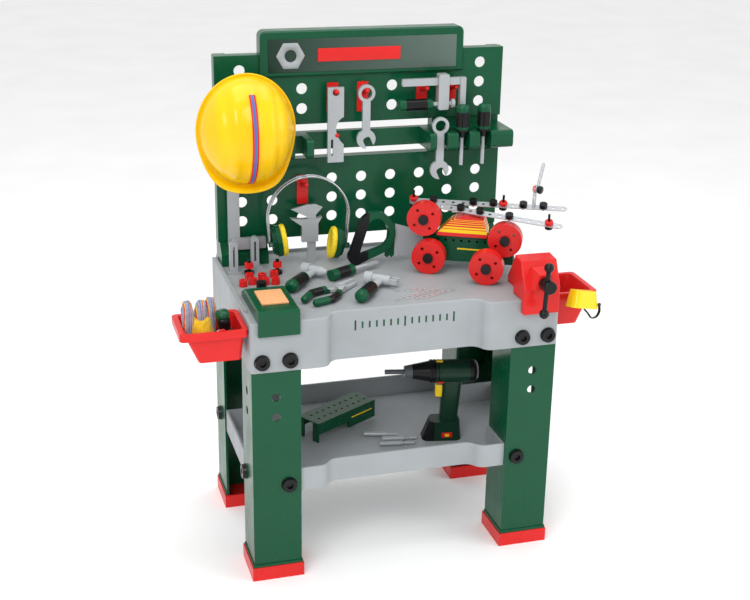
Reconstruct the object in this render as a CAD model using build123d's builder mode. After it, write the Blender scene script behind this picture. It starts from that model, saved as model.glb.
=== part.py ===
"""Toy tool bench: two-deck bench with a perforated back wall, vise and loose tools.

Millimetres, +Z up.  The origin is on the floor, midway between the legs.
"""
import math
import os

from build123d import *

os.makedirs("parts", exist_ok=True)

# ---- driving dimensions ------------------------------------------------------
TABLE_HALF_X = 305
TABLE_FRONT = -199
TABLE_REAR = 196
TABLE_Z = 538
APRON_DROP = 98
APRON_RECESS = 29
RECESS_HALF_X = 130
CURVE_RUN = 42
SKIN = 4

LEG_OUTER_X = 303
LEG_WIDTH = 94
LEG_DEPTH = 92
LEG_FRONT = -196
LEG_REAR = 194
CAP_HEIGHT = 28

SHELF_FLOOR = 186
SHELF_RIM = 230

PANEL_HALF_X = 300
PANEL_FRONT = 145
PANEL_DEPTH = 25
LOWER_PANEL_Z = (585, 750)
UPPER_PANEL_Z = (820, 962)
HOLE_PITCH = 62.5
HOLE_RADIUS = 11
LOWER_ROWS = (626, 666, 706)
UPPER_ROWS = (852, 892)
OUTER_ROW = 932

HEADER_HALF_X = 210
HEADER_Z = (918, 1008)
HEADER_FRONT = 136

RAIL_Z = (770, 806)
RAIL_SLOTS = (146, 192, 238)
SLOT_WIDTH = 24

BOLT_HEAD_RADIUS = 15.5
PEG_ANGLE = 15
PEG_DROP = 29
WHEEL_RADIUS = 34
WHEEL_WIDTH = 26
GAP = 0.3


# ---- helpers -------------------------------------------------------------------
def keep(part, name):
    """Name a finished piece and write it out."""
    part.label = name
    export_step(part, f"parts/{name}.step")


def slab(x, y, z, mode=Mode.ADD):
    """A block given by its two ends along each axis."""
    with Locations(((x[0] + x[1]) / 2, (y[0] + y[1]) / 2, (z[0] + z[1]) / 2)):
        Box(x[1] - x[0], y[1] - y[0], z[1] - z[0], mode=mode)


def rod(start, end, radius, mode=Mode.ADD, end_radius=None):
    """A round bar, or a cone, from one point to another."""
    run = Vector(*end) - Vector(*start)
    base = (Align.CENTER, Align.CENTER, Align.MIN)
    with Locations(Plane(origin=start, z_dir=run).location):
        if end_radius is None:
            Cylinder(radius, run.length, align=base, mode=mode)
        else:
            Cone(radius, end_radius, run.length, align=base, mode=mode)


def ball(centre, radius, mode=Mode.ADD):
    """A sphere about a point."""
    with Locations(centre):
        Sphere(radius, mode=mode)


def head_bolt(face, outward, shank):
    """A round bolt head with a hexagon recess, its shank going into the wall."""
    out = Vector(*outward)
    top = Vector(*face) + out * 8
    rod(Vector(*face), top, BOLT_HEAD_RADIUS, end_radius=BOLT_HEAD_RADIUS - 2)
    rod(Vector(*face), Vector(*face) - out * shank, 5)
    rod(top, top - out * 5, 6.5, mode=Mode.SUBTRACT)


def front_outline(half_x, front, rear, recess):
    """Closed plan outline whose front edge steps back between two S-curves."""
    inner = RECESS_HALF_X
    outer = RECESS_HALF_X + CURVE_RUN
    middle = (inner + outer) / 2
    with BuildLine() as outline:
        Polyline((-outer, front), (-half_x, front), (-half_x, rear))
        Polyline((-half_x, rear), (half_x, rear), (half_x, front), (outer, front))
        right_out = TangentArc((outer, front), (middle, front + recess / 2), tangent=(-1, 0))
        TangentArc((middle, front + recess / 2), (inner, front + recess), tangent=right_out % 1)
        Line((inner, front + recess), (-inner, front + recess))
        left_in = TangentArc((-inner, front + recess), (-middle, front + recess / 2), tangent=(-1, 0))
        TangentArc((-middle, front + recess / 2), (-outer, front), tangent=left_in % 1)
    return outline.line


def lying(origin, heading):
    """Work plane of a tool lying flat: local X runs along the tool."""
    turn = math.radians(heading)
    return Plane(origin=origin, x_dir=(math.cos(turn), math.sin(turn), 0), z_dir=(0, 0, 1))


# ---- legs and feet --------------------------------------------------------------
def channel_leg(side, front):
    """Upright U-channel: closed to the outside of the bench, open inward."""
    x_out = side * LEG_OUTER_X
    x_in = side * (LEG_OUTER_X - LEG_WIDTH)
    xs = (min(x_out, x_in), max(x_out, x_in))
    ys = (LEG_FRONT, LEG_FRONT + LEG_DEPTH) if front else (LEG_REAR - LEG_DEPTH, LEG_REAR)
    opening = 1 if front else -1
    shift = SKIN + 1
    with BuildPart() as leg:
        slab(xs, ys, (SKIN, TABLE_Z - APRON_DROP))
        inner_ys = (ys[0] + shift, ys[1] + 1) if opening > 0 else (ys[0] - 1, ys[1] - shift)
        slab((xs[0] + shift, xs[1] - shift), inner_ys, (0, TABLE_Z), mode=Mode.SUBTRACT)
        lip_ys = (ys[0] - 2, ys[0]) if front else (ys[1], ys[1] + 2)
        slab((xs[0] - 2, xs[1] + 2), lip_ys, (CAP_HEIGHT, CAP_HEIGHT + 6))
        slab((xs[0] - 2, xs[0]), ys, (CAP_HEIGHT, CAP_HEIGHT + 6))
        slab((xs[1], xs[1] + 2), ys, (CAP_HEIGHT, CAP_HEIGHT + 6))
        tongue_y = ys[0] + 3.2 if front else ys[1] - 7.2
        slab((xs[0] + 6, xs[1] - 6), (tongue_y, tongue_y + 4), (TABLE_Z - APRON_DROP - 30, TABLE_Z - 20))
        if front:
            for z in (387, 346):
                rod((side * 257, ys[0] - 5, z), (side * 257, ys[0] + 12, z), 8.5, mode=Mode.SUBTRACT)
                rod((x_out + side * 5, -150, z), (x_out - side * 12, -150, z), 8.5, mode=Mode.SUBTRACT)
            for x in (230, 283):
                rod((side * x, ys[0] - 5, 461), (side * x, ys[0] + 20, 461), 5.1, mode=Mode.SUBTRACT)
            rod((side * 233, ys[0] - 5, 202), (side * 233, ys[0] + 20, 202), 5.1, mode=Mode.SUBTRACT)
        bolt_y = -122 if front else 150
        rod((x_out + side * 5, bolt_y, 202), (x_out - side * 20, bolt_y, 202), 5.1, mode=Mode.SUBTRACT)
    return leg.part


for row_name, is_front in (("front", True), ("rear", False)):
    with BuildPart() as legs:
        add(channel_leg(-1, is_front))
        add(channel_leg(1, is_front))
    keep(legs.part, f"legs_{row_name}")

with BuildPart() as foot_caps:
    for side in (-1, 1):
        for y_near, y_far in ((LEG_FRONT, LEG_FRONT + LEG_DEPTH), (LEG_REAR - LEG_DEPTH, LEG_REAR)):
            xs = sorted((side * (LEG_OUTER_X - LEG_WIDTH), side * LEG_OUTER_X))
            slab((xs[0] - 4, xs[1] + 4), (y_near - 4, y_far + 4), (0, CAP_HEIGHT))
            slab((xs[0], xs[1]), (y_near, y_far), (SKIN, CAP_HEIGHT + 1), mode=Mode.SUBTRACT)
keep(foot_caps.part, "foot_caps")

# ---- tabletop ---------------------------------------------------------------------
with BuildPart() as tabletop:
    with BuildSketch(Plane.XY.offset(TABLE_Z - APRON_DROP)):
        make_face(front_outline(TABLE_HALF_X, TABLE_FRONT, TABLE_REAR, APRON_RECESS))
    extrude(amount=APRON_DROP)
    fillet(tabletop.edges().filter_by(Axis.Z).group_by(Axis.Y)[0], 8)
    fillet(tabletop.faces().sort_by(Axis.Z)[-1].edges(), 3)
    with BuildSketch(Plane.XY.offset(TABLE_Z - APRON_DROP)):
        make_face(front_outline(TABLE_HALF_X - SKIN, TABLE_FRONT + SKIN, TABLE_REAR - SKIN, APRON_RECESS))
    extrude(amount=APRON_DROP - SKIN, mode=Mode.SUBTRACT)
    slab((-TABLE_HALF_X + 8, TABLE_HALF_X - 8), (TABLE_REAR - 8, TABLE_REAR - 3), (TABLE_Z - 1, TABLE_Z + 6))
    for side in (-1, 1):
        edge = sorted((side * (TABLE_HALF_X - 3), side * (TABLE_HALF_X - 7)))
        slab(edge, (TABLE_FRONT + 60, TABLE_REAR - 20), (TABLE_Z - 1, TABLE_Z + 5))
        for x in (230, 283):
            rod((side * x, TABLE_FRONT - 5, 461), (side * x, TABLE_FRONT + 12, 461), 5.1, mode=Mode.SUBTRACT)
keep(tabletop.part, "tabletop")

# ---- shelf tray --------------------------------------------------------------------
SHELF_FRONT = LEG_FRONT + 6
SHELF_REAR = LEG_REAR - 6
SHELF_IN_X = LEG_OUTER_X - LEG_WIDTH - GAP
SHELF_OUT_X = LEG_OUTER_X - 3
SHELF_WING_Y = (LEG_FRONT + LEG_DEPTH + GAP, LEG_REAR - LEG_DEPTH - GAP)
with BuildPart() as shelf_tray:
    with BuildSketch(Plane.XY.offset(SHELF_FLOOR - 4)):
        make_face(front_outline(SHELF_IN_X, SHELF_FRONT, SHELF_REAR, 23))
    extrude(amount=SHELF_RIM - SHELF_FLOOR + 4)
    slab((-SHELF_OUT_X, SHELF_OUT_X), SHELF_WING_Y, (SHELF_FLOOR - 4, SHELF_RIM))
    with BuildSketch(Plane.XY.offset(SHELF_FLOOR)):
        make_face(front_outline(SHELF_IN_X - SKIN, SHELF_FRONT + SKIN, SHELF_REAR - SKIN, 23))
    extrude(amount=SHELF_RIM, mode=Mode.SUBTRACT)
    slab(
        (-SHELF_OUT_X + SKIN, SHELF_OUT_X - SKIN),
        (SHELF_WING_Y[0] + SKIN, SHELF_WING_Y[1] - SKIN),
        (SHELF_FLOOR, SHELF_RIM + 1),
        mode=Mode.SUBTRACT,
    )
keep(shelf_tray.part, "shelf_tray")

# ---- frame bolts ----------------------------------------------------------------------
with BuildPart() as frame_bolts:
    for side in (-1, 1):
        for x in (230, 283):
            head_bolt((side * x, TABLE_FRONT, 461), (0, -1, 0), 11)
        head_bolt((side * 233, LEG_FRONT, 202), (0, -1, 0), 14)
        for y in (-122, 150):
            head_bolt((side * LEG_OUTER_X, y, 202), (side, 0, 0), 14)
keep(frame_bolts.part, "frame_bolts")


# ---- back wall -----------------------------------------------------------------------
def holes(part_rows, columns):
    """Round peg holes through the panel skin."""
    for z in part_rows:
        for column in columns:
            x = (column - 4) * HOLE_PITCH
            rod((x, PANEL_FRONT - 5, z), (x, PANEL_FRONT + 8, z), HOLE_RADIUS, mode=Mode.SUBTRACT)


def panel_shell(zs):
    """Front skin with a rim folded back all round, open at the rear."""
    slab((-PANEL_HALF_X, PANEL_HALF_X), (PANEL_FRONT, PANEL_FRONT + PANEL_DEPTH), zs)
    slab(
        (-PANEL_HALF_X + 3, PANEL_HALF_X - 3),
        (PANEL_FRONT + 3, PANEL_FRONT + PANEL_DEPTH + 1),
        (zs[0] + 3, zs[1] - 3),
        mode=Mode.SUBTRACT,
    )


with BuildPart() as lower_panel:
    panel_shell(LOWER_PANEL_Z)
    holes(LOWER_ROWS, range(9))
    fillet(lower_panel.faces().sort_by(Axis.Y)[0].outer_wire().edges(), 1.5)
keep(lower_panel.part, "lower_panel")

with BuildPart() as upper_panel:
    panel_shell(UPPER_PANEL_Z)
    holes(UPPER_ROWS, range(9))
    holes((OUTER_ROW,), (0, 8))
    fillet(upper_panel.faces().sort_by(Axis.Y)[0].outer_wire().edges(), 1.5)
keep(upper_panel.part, "upper_panel")

with BuildPart() as header:
    with BuildSketch(Plane.XZ.offset(-HEADER_FRONT)):
        with Locations((0, (HEADER_Z[0] + HEADER_Z[1]) / 2)):
            Rectangle(2 * HEADER_HALF_X, HEADER_Z[1] - HEADER_Z[0])
        fillet(vertices().group_by(Axis.Y)[-1], 13)
    extrude(amount=-(PANEL_FRONT + PANEL_DEPTH - HEADER_FRONT))
    chamfer(header.faces().sort_by(Axis.Y)[0].edges(), 3)
    slab(
        (-HEADER_HALF_X - 1, HEADER_HALF_X + 1),
        (PANEL_FRONT, PANEL_FRONT + PANEL_DEPTH + 1),
        (HEADER_Z[0] - 1, UPPER_PANEL_Z[1]),
        mode=Mode.SUBTRACT,
    )
    slab(
        (-HEADER_HALF_X + 5, HEADER_HALF_X - 5),
        (HEADER_FRONT + 4, PANEL_FRONT + PANEL_DEPTH + 1),
        (UPPER_PANEL_Z[1], HEADER_Z[1] - 5),
        mode=Mode.SUBTRACT,
    )
keep(header.part, "header")

with BuildPart() as tool_rail:
    slab((-298, 298), (PANEL_FRONT - 10, PANEL_FRONT + 5), RAIL_Z)
    for side in (-1, 1):
        ends = sorted((side * 120, side * 298))
        slab(ends, (62, PANEL_FRONT - 10), RAIL_Z)
    fillet(tool_rail.faces().sort_by(Axis.Y)[0:2].edges().filter_by(Axis.X), 9)
    for side in (-1, 1):
        for x in RAIL_SLOTS:
            cut = sorted((side * x - SLOT_WIDTH / 2, side * x + SLOT_WIDTH / 2))
            slab(cut, (50, 108), (RAIL_Z[0] - 1, RAIL_Z[1] + 1), mode=Mode.SUBTRACT)
keep(tool_rail.part, "tool_rail")


def upright(side):
    """Foot block on the table, outer stile behind the panels and the joining web."""
    foot = sorted((side * 200, side * 297))
    stile = sorted((side * 273, side * 297))
    web = sorted((side * 152, side * 297))
    with BuildPart() as post:
        with BuildSketch(Plane.YZ.offset(foot[0])):
            Polygon((126, 538), (184, 538), (184, 585), (145, 585), (126, 563), align=None)
        extrude(amount=foot[1] - foot[0])
        slab(stile, (PANEL_FRONT + 3, PANEL_FRONT + 24), (LOWER_PANEL_Z[0] + 3, LOWER_PANEL_Z[1] - 3))
        slab(stile, (PANEL_FRONT + 3, PANEL_FRONT + 24), (UPPER_PANEL_Z[0] + 3, UPPER_PANEL_Z[1] - 3))
        slab(web, (PANEL_FRONT + 5, PANEL_FRONT + 24), (LOWER_PANEL_Z[1], UPPER_PANEL_Z[0]))
        back = (PANEL_FRONT + 25, PANEL_FRONT + 33)
        slab(stile, back, (TABLE_Z, UPPER_PANEL_Z[1]))
        slab(stile, (PANEL_FRONT + 20, PANEL_FRONT + 33), (LOWER_PANEL_Z[0] + 3, LOWER_PANEL_Z[1] - 3))
        slab(stile, (PANEL_FRONT + 20, PANEL_FRONT + 33), (UPPER_PANEL_Z[0] + 3, UPPER_PANEL_Z[1] - 3))
        slab(web, (PANEL_FRONT + 20, PANEL_FRONT + 33), (LOWER_PANEL_Z[1], UPPER_PANEL_Z[0]))
    return post.part


with BuildPart() as uprights:
    add(upright(-1))
    add(upright(1))
keep(uprights.part, "uprights")


def hook(x, low_row, reach=37):
    """Hook plate with two pegs in the panel and one slanted carrying peg."""
    z = low_row + 20
    slab((x - 11.5, x + 11.5), (PANEL_FRONT - 3, PANEL_FRONT), (z - 30, z + 30))
    for row in (low_row, low_row + 40):
        rod((x, PANEL_FRONT, row), (x, PANEL_FRONT + 9, row), HOLE_RADIUS - 0.1)
    slant = math.radians(PEG_ANGLE)
    root = Vector(x, PANEL_FRONT - 1, low_row + PEG_DROP)
    tip = root + Vector(0, -math.cos(slant), math.sin(slant)) * reach
    rod(root, tip, 4.5)
    ball(tip, 4.5)


with BuildPart() as panel_hooks:
    for x in (-62.5, 0, 125, 187.5):
        hook(x, UPPER_ROWS[0])
    hook(-250, UPPER_ROWS[0], reach=95)
    hook(-125, LOWER_ROWS[1])
keep(panel_hooks.part, "panel_hooks")

# ---- fixtures on the table -----------------------------------------------------------
with BuildPart() as corner_block:
    with BuildSketch(Plane.YZ.offset(-290)):
        Polygon(
            (-205, 513), (-199, 513), (-199, 538), (-45, 538), (-45, 546), (-75, 562), (-200, 562), (-205, 557),
            align=None,
        )
    extrude(amount=78)
    fillet(corner_block.edges().filter_by(Axis.Y).group_by(Axis.Z)[-1], 2)
keep(corner_block.part, "corner_block")

with BuildPart() as saw_guides:
    for x, y in ((-280, 86), (-232, 111)):
        slab((x - 8, x + 8), (y - 6, y + 6), (TABLE_Z, TABLE_Z + 58))
        rod((x, y - 6, TABLE_Z + 58), (x, y + 6, TABLE_Z + 58), 8)
        slab((x - 2, x + 2), (y - 7, y + 7), (TABLE_Z + 14, TABLE_Z + 56), mode=Mode.SUBTRACT)
        slab((x - 14, x + 14), (y - 9, y + 9), (TABLE_Z, TABLE_Z + 4))
keep(saw_guides.part, "saw_guides")

# ---- vise ------------------------------------------------------------------------------
VISE_X = (222, 296)
VISE_BASE_X = (238, 293)
VISE_AXIS_X = 256
VISE_AXIS_Z = 580
with BuildPart() as vise_base:
    with BuildSketch(Plane.YZ.offset(VISE_BASE_X[0])):
        Polygon((-155, 538), (-92, 538), (-92, 552), (-128, 606), (-155, 606), align=None)
    extrude(amount=VISE_BASE_X[1] - VISE_BASE_X[0])
    fillet(vise_base.edges().filter_by(Axis.X).group_by(Axis.Z)[-1], 4)
    rod((VISE_AXIS_X, -160, VISE_AXIS_Z), (VISE_AXIS_X, -104, VISE_AXIS_Z), 6.1, mode=Mode.SUBTRACT)
keep(vise_base.part, "vise_base")

with BuildPart() as vise_jaw:
    with BuildSketch(Plane.YZ.offset(VISE_X[0])):
        with BuildLine():
            Polyline((-215, 513), (-201, 513), (-201, 538.6), (-158, 538.6), (-158, 616))
            Polyline((-158, 616), (-190, 613), (-215, 564), (-215, 513))
        make_face()
    extrude(amount=VISE_X[1] - VISE_X[0])
    with BuildSketch(Plane.XZ.offset(200)):
        Polygon((226, 560), (286, 560), (274, 604), (240, 604), align=None)
    extrude(amount=30, taper=14)
    fillet(vise_jaw.faces().sort_by(Axis.X)[0].edges(), 2.5)
    fillet(vise_jaw.faces().sort_by(Axis.X)[-1].edges(), 2.5)
    rod((VISE_AXIS_X, -240, VISE_AXIS_Z), (VISE_AXIS_X, -150, VISE_AXIS_Z), 6.1, mode=Mode.SUBTRACT)
keep(vise_jaw.part, "vise_jaw")

BAR_TILT = math.radians(2.5)
BAR_AXIS = Vector(math.sin(BAR_TILT), 0, math.cos(BAR_TILT))
BAR_CENTRE = Vector(VISE_AXIS_X - 3, -247, 571)
with BuildPart() as vise_screw:
    rod((VISE_AXIS_X, -260, VISE_AXIS_Z), (VISE_AXIS_X, -231, VISE_AXIS_Z), 13)
    fillet(vise_screw.faces().sort_by(Axis.Y)[0].edges(), 3)
    rod((VISE_AXIS_X, -232, VISE_AXIS_Z), (VISE_AXIS_X, -106, VISE_AXIS_Z), 6)
    rod(BAR_CENTRE - BAR_AXIS * 46, BAR_CENTRE + BAR_AXIS * 46, 4.5)
    ball(BAR_CENTRE - BAR_AXIS * 46, 9.5)
    ball(BAR_CENTRE + BAR_AXIS * 46, 9.5)
keep(vise_screw.part, "vise_screw")


# ---- side boxes -------------------------------------------------------------------------
def hung_box(side, width, ys, z_rim, depth):
    """Tapered open box with a rolled rim and two hooks over the table edge."""
    wall_x = side * (TABLE_HALF_X + 1)
    far_x = side * (TABLE_HALF_X + width)
    centre = ((wall_x + far_x) / 2, (ys[0] + ys[1]) / 2)
    wide = abs(far_x - wall_x)
    long = ys[1] - ys[0]
    with BuildPart() as box:
        with BuildSketch(Plane.XY.offset(z_rim - depth)):
            with Locations((centre[0] - side * 12, centre[1])):
                RectangleRounded(wide - 46, long - 26, 8)
        with BuildSketch(Plane.XY.offset(z_rim)):
            with Locations((centre[0] - side * 1, centre[1])):
                RectangleRounded(wide - 12, long - 10, 10)
        loft()
        with BuildSketch(Plane.XY.offset(z_rim - 14)):
            with Locations(centre):
                RectangleRounded(wide, long, 10)
        extrude(amount=14)
        with BuildSketch(Plane.XY.offset(z_rim - depth + 3)):
            with Locations((centre[0] - side * 12, centre[1])):
                RectangleRounded(wide - 52, long - 32, 6)
        with BuildSketch(Plane.XY.offset(z_rim + 0.01)):
            with Locations((centre[0] - side * 1, centre[1])):
                RectangleRounded(wide - 20, long - 18, 8)
        loft(mode=Mode.SUBTRACT)
        fillet(box.faces().sort_by(Axis.Z)[-1].edges(), 1.5)
    return box.part


LEFT_BOX_Y = (-196, -84)
RIGHT_BOX_Y = (-150, -30)
keep(hung_box(-1, 126, LEFT_BOX_Y, 527, 62), "box_left")
keep(hung_box(1, 104, RIGHT_BOX_Y, 524, 70), "box_right")

# ---- soft and loose things in the boxes -----------------------------------------------------
with BuildPart() as gloves:
    with BuildSketch(Plane.XY.offset(476)):
        with Locations((-370, -136)):
            RectangleRounded(34, 44, 12)
    with BuildSketch(Plane.XY.offset(572)):
        with Locations((-388, -134)):
            RectangleRounded(56, 56, 16)
    loft()
    fillet(gloves.faces().sort_by(Axis.Z)[-1].edges(), 10)
keep(gloves.part, "gloves")

GOGGLES_PLANE = Plane(origin=(358, -184, 505), x_dir=(0.97, 0.15, -0.2), z_dir=(0.17, 0.24, 1))
with BuildPart() as goggles_frame:
    with BuildSketch(GOGGLES_PLANE):
        RectangleRounded(62, 40, 14)
    with BuildSketch(GOGGLES_PLANE.offset(34)):
        RectangleRounded(52, 32, 12)
    loft()
    with BuildSketch(GOGGLES_PLANE.offset(-1)):
        RectangleRounded(57, 35, 11)
    with BuildSketch(GOGGLES_PLANE.offset(35)):
        RectangleRounded(46, 26, 9)
    loft(mode=Mode.SUBTRACT)
keep(goggles_frame.part, "goggles_frame")

# ---- helmet -----------------------------------------------------------------------------------
HELMET_CENTRE = (-255, 835)
HELMET_RIM_Y = 60
HELMET_DEPTH = 92


def helmet_dome(inset):
    """Half-egg along -Y made from a row of ellipses."""
    steps = 8
    with BuildPart() as dome:
        for step in range(steps + 1):
            angle = math.radians(86) * step / steps
            y = HELMET_RIM_Y - (HELMET_DEPTH - inset) * math.sin(angle)
            with BuildSketch(Plane.XZ.offset(-y)):
                with Locations(HELMET_CENTRE):
                    Ellipse((91 - inset) * math.cos(angle), (103 - inset) * math.cos(angle))
        loft()
    return dome.part


with BuildPart() as helmet:
    add(helmet_dome(0))
    with BuildSketch(Plane.XZ.offset(-HELMET_RIM_Y)):
        with Locations(HELMET_CENTRE):
            Ellipse(98, 110)
        with Locations((HELMET_CENTRE[0], HELMET_CENTRE[1] - 86)):
            RectangleRounded(130, 60, 26)
    extrude(amount=3.5)
    add(helmet_dome(3), mode=Mode.SUBTRACT)
keep(helmet.part, "helmet")

# ---- ear defenders ------------------------------------------------------------------------------
EAR_Y = 104
PIN_LEFT = Vector(-202, EAR_Y, 590)
PIN_RIGHT = Vector(-44, EAR_Y, 577)
ARCH_X = -122
ARCH_Z = 640
ARCH_RADIUS = 84
with BuildPart() as ear_band:
    for y in (EAR_Y - 6, EAR_Y + 6):
        with BuildSketch(Plane.XY.offset(ARCH_Z)):
            with Locations((ARCH_X + ARCH_RADIUS, y)):
                Circle(2)
        revolve(axis=Axis((ARCH_X, y, ARCH_Z), (0, -1, 0)), revolution_arc=180)
        rod((ARCH_X - ARCH_RADIUS, y, ARCH_Z + 0.5), PIN_LEFT + Vector(0, y - EAR_Y, 0), 2.3)
        rod((ARCH_X + ARCH_RADIUS, y, ARCH_Z + 0.5), PIN_RIGHT + Vector(0, y - EAR_Y, 0), 2.3)
    for pin in (PIN_LEFT, PIN_RIGHT):
        rod(pin - Vector(0, 14, 0), pin + Vector(0, 14, 0), 3.4)
keep(ear_band.part, "ear_band")


def ear_frame(pin, inward):
    """Work plane of one cup: Z points through the cup, towards the other one."""
    return Plane(origin=pin, x_dir=(0, 1, 0), z_dir=(inward, 0, 0.14))


def ear_cup(frame):
    """Stepped oval cup with two lugs round the band's pivot pin."""
    with BuildPart(frame) as cup:
        for start, grow in ((5, 0), (9, 3), (13, 7)):
            with BuildSketch(frame.offset(start)):
                Ellipse(15 + grow, 26 + grow)
            extrude(amount=22 - start)
        with Locations((-12, 0, 1), (12, 0, 1)):
            Box(4, 10, 12)
        with Locations(Location((0, 0, 0), (0, 90, 0))):
            Cylinder(3.5, 32, mode=Mode.SUBTRACT)
    return cup.part


def ear_cushion(frame):
    """Soft oval ring on the open side of a cup."""
    with BuildPart(frame) as cushion:
        with BuildSketch(frame.offset(22)):
            Ellipse(23, 34)
            Ellipse(11, 21, mode=Mode.SUBTRACT)
        extrude(amount=12)
    return cushion.part


for side_name, pin, inward in (("left", PIN_LEFT, 1), ("right", PIN_RIGHT, -1)):
    keep(ear_cup(ear_frame(pin, inward)), f"ear_cup_{side_name}")
    keep(ear_cushion(ear_frame(pin, inward)), f"ear_cushion_{side_name}")


# ---- hung tools ------------------------------------------------------------------------------------
def wrench(ring, jaw_z, y):
    """Combination wrench: ring above, open jaw below."""
    x, ring_z = ring
    with BuildPart() as tool:
        with BuildSketch(Plane.XZ.offset(-y - 3.5)):
            with Locations((x, ring_z)):
                Circle(17.5)
            with Locations((x, jaw_z)):
                Circle(19.5)
            with Locations((x, (ring_z + jaw_z) / 2)):
                Rectangle(16, ring_z - jaw_z)
            with Locations((x, ring_z)):
                Circle(11.3, mode=Mode.SUBTRACT)
            with Locations(Location((x + 6, jaw_z - 12), 25)):
                RectangleRounded(16, 34, 6, mode=Mode.SUBTRACT)
        extrude(amount=7)
    return tool.part


keep(wrench((0, 884), 791, 115), "wrench_hung")
keep(wrench((146, 818.8), 728, 80), "wrench_racked")


def screwdriver(x, y):
    """Fluted handle resting on the rail, collar and blade down through the slot."""
    seat = RAIL_Z[1] + GAP
    with BuildPart() as tool:
        rod((x, y, seat), (x, y, seat + 54), 13.5)
        fillet(tool.faces().sort_by(Axis.Z)[-1].edges(), 8)
        for turn in range(6):
            angle = math.radians(60 * turn)
            cx = x + 15.5 * math.cos(angle)
            cy = y + 15.5 * math.sin(angle)
            rod((cx, cy, seat + 6), (cx, cy, seat + 38), 4, mode=Mode.SUBTRACT)
        rod((x, y, seat - 12), (x, y, seat), 8)
        rod((x, y, 736), (x, y, seat), 3.8)
    return tool.part


keep(screwdriver(192, 78), "screwdriver_left")
keep(screwdriver(238, 78), "screwdriver_right")

with BuildPart() as wavy_gauge:
    with BuildSketch(Plane.XZ.offset(-122)):
        with BuildLine():
            Polyline((-46, 838), (-46, 898), (-79, 898), (-79, 746), (-46, 746), (-46, 782))
            ThreePointArc((-46, 782), (-57, 796), (-62, 812))
            ThreePointArc((-62, 812), (-58, 828), (-46, 838))
        make_face()
        with Locations((-62.5, 887.6)):
            Circle(6.8, mode=Mode.SUBTRACT)
        with Locations((-70, 776)):
            SlotCenterToCenter(30, 5, rotation=90, mode=Mode.SUBTRACT)
    extrude(amount=7)
keep(wavy_gauge.part, "wavy_gauge")

CLAMP_Y = 105
CLAMP_AXIS_Z = 858
with BuildPart() as clamp_bar:
    slab((71, 205), (CLAMP_Y - 4, CLAMP_Y + 4), (896.5, 911))
    slab((193, 205), (CLAMP_Y - 6, CLAMP_Y + 6), (847, 911))
    fillet(clamp_bar.edges().filter_by(Axis.Y), 1.5)
keep(clamp_bar.part, "clamp_bar")

with BuildPart() as clamp_slide:
    slab((146, 168), (CLAMP_Y - 9, CLAMP_Y + 9), (847, 919))
    fillet(clamp_slide.edges().filter_by(Axis.Y), 4)
    slab((140, 175), (CLAMP_Y - 4.3, CLAMP_Y + 4.3), (896.2, 911.3), mode=Mode.SUBTRACT)
    rod((140, CLAMP_Y, CLAMP_AXIS_Z), (175, CLAMP_Y, CLAMP_AXIS_Z), 4.6, mode=Mode.SUBTRACT)
keep(clamp_slide.part, "clamp_slide")

with BuildPart() as clamp_screw:
    rod((64, CLAMP_Y, CLAMP_AXIS_Z), (136, CLAMP_Y, CLAMP_AXIS_Z), 12)
    fillet(clamp_screw.faces().filter_by(Axis.X).edges(), 5)
    rod((130, CLAMP_Y, CLAMP_AXIS_Z), (180, CLAMP_Y, CLAMP_AXIS_Z), 4.5)
    rod((176, CLAMP_Y, CLAMP_AXIS_Z), (182, CLAMP_Y, CLAMP_AXIS_Z), 9)
keep(clamp_screw.part, "clamp_screw")

# ---- square and caliper --------------------------------------------------------------------------------
SQUARE_PIVOT = (-270, 586)
with BuildPart() as square_stock:
    slab((-276, -206), (121, 128.7), (574, 598))
    fillet(square_stock.edges().filter_by(Axis.Y), 3)
    rod((SQUARE_PIVOT[0], 135.5, SQUARE_PIVOT[1]), (SQUARE_PIVOT[0], 128, SQUARE_PIVOT[1]), 4)
    rod((SQUARE_PIVOT[0], 117, SQUARE_PIVOT[1]), (SQUARE_PIVOT[0], 121, SQUARE_PIVOT[1]), 9)
keep(square_stock.part, "square_stock")

with BuildPart() as square_blade:
    with BuildSketch(Plane.XZ.offset(-134)):
        with Locations((SQUARE_PIVOT[0], (575 + 712) / 2)):
            RectangleRounded(24, 137, 10)
        with Locations(SQUARE_PIVOT):
            Circle(4.1, mode=Mode.SUBTRACT)
    extrude(amount=4.7)
keep(square_blade.part, "square_blade")

CALIPER_Y = 112
with BuildPart() as caliper_beam:
    slab((-122, -104), (CALIPER_Y, CALIPER_Y + 5), (TABLE_Z + GAP, 662))
    with BuildSketch(Plane.XZ.offset(-CALIPER_Y - 5)):
        Polygon((-122, 662), (-122, 636), (-156, 654), align=None)
        Polygon((-104, 662), (-104, 640), (-90, 655), align=None)
    extrude(amount=5)
keep(caliper_beam.part, "caliper_beam")

with BuildPart() as caliper_slider:
    with BuildSketch(Plane.XZ.offset(-CALIPER_Y - 8)):
        Polygon(
            (-134, 584), (-100, 584), (-100, 622), (-92, 636), (-100, 633), (-134, 633), (-158, 636), (-134, 618),
            align=None,
        )
    extrude(amount=12)
    slab((-122.3, -103.7), (CALIPER_Y - 0.3, CALIPER_Y + 5.3), (570, 640), mode=Mode.SUBTRACT)
keep(caliper_slider.part, "caliper_slider")

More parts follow.
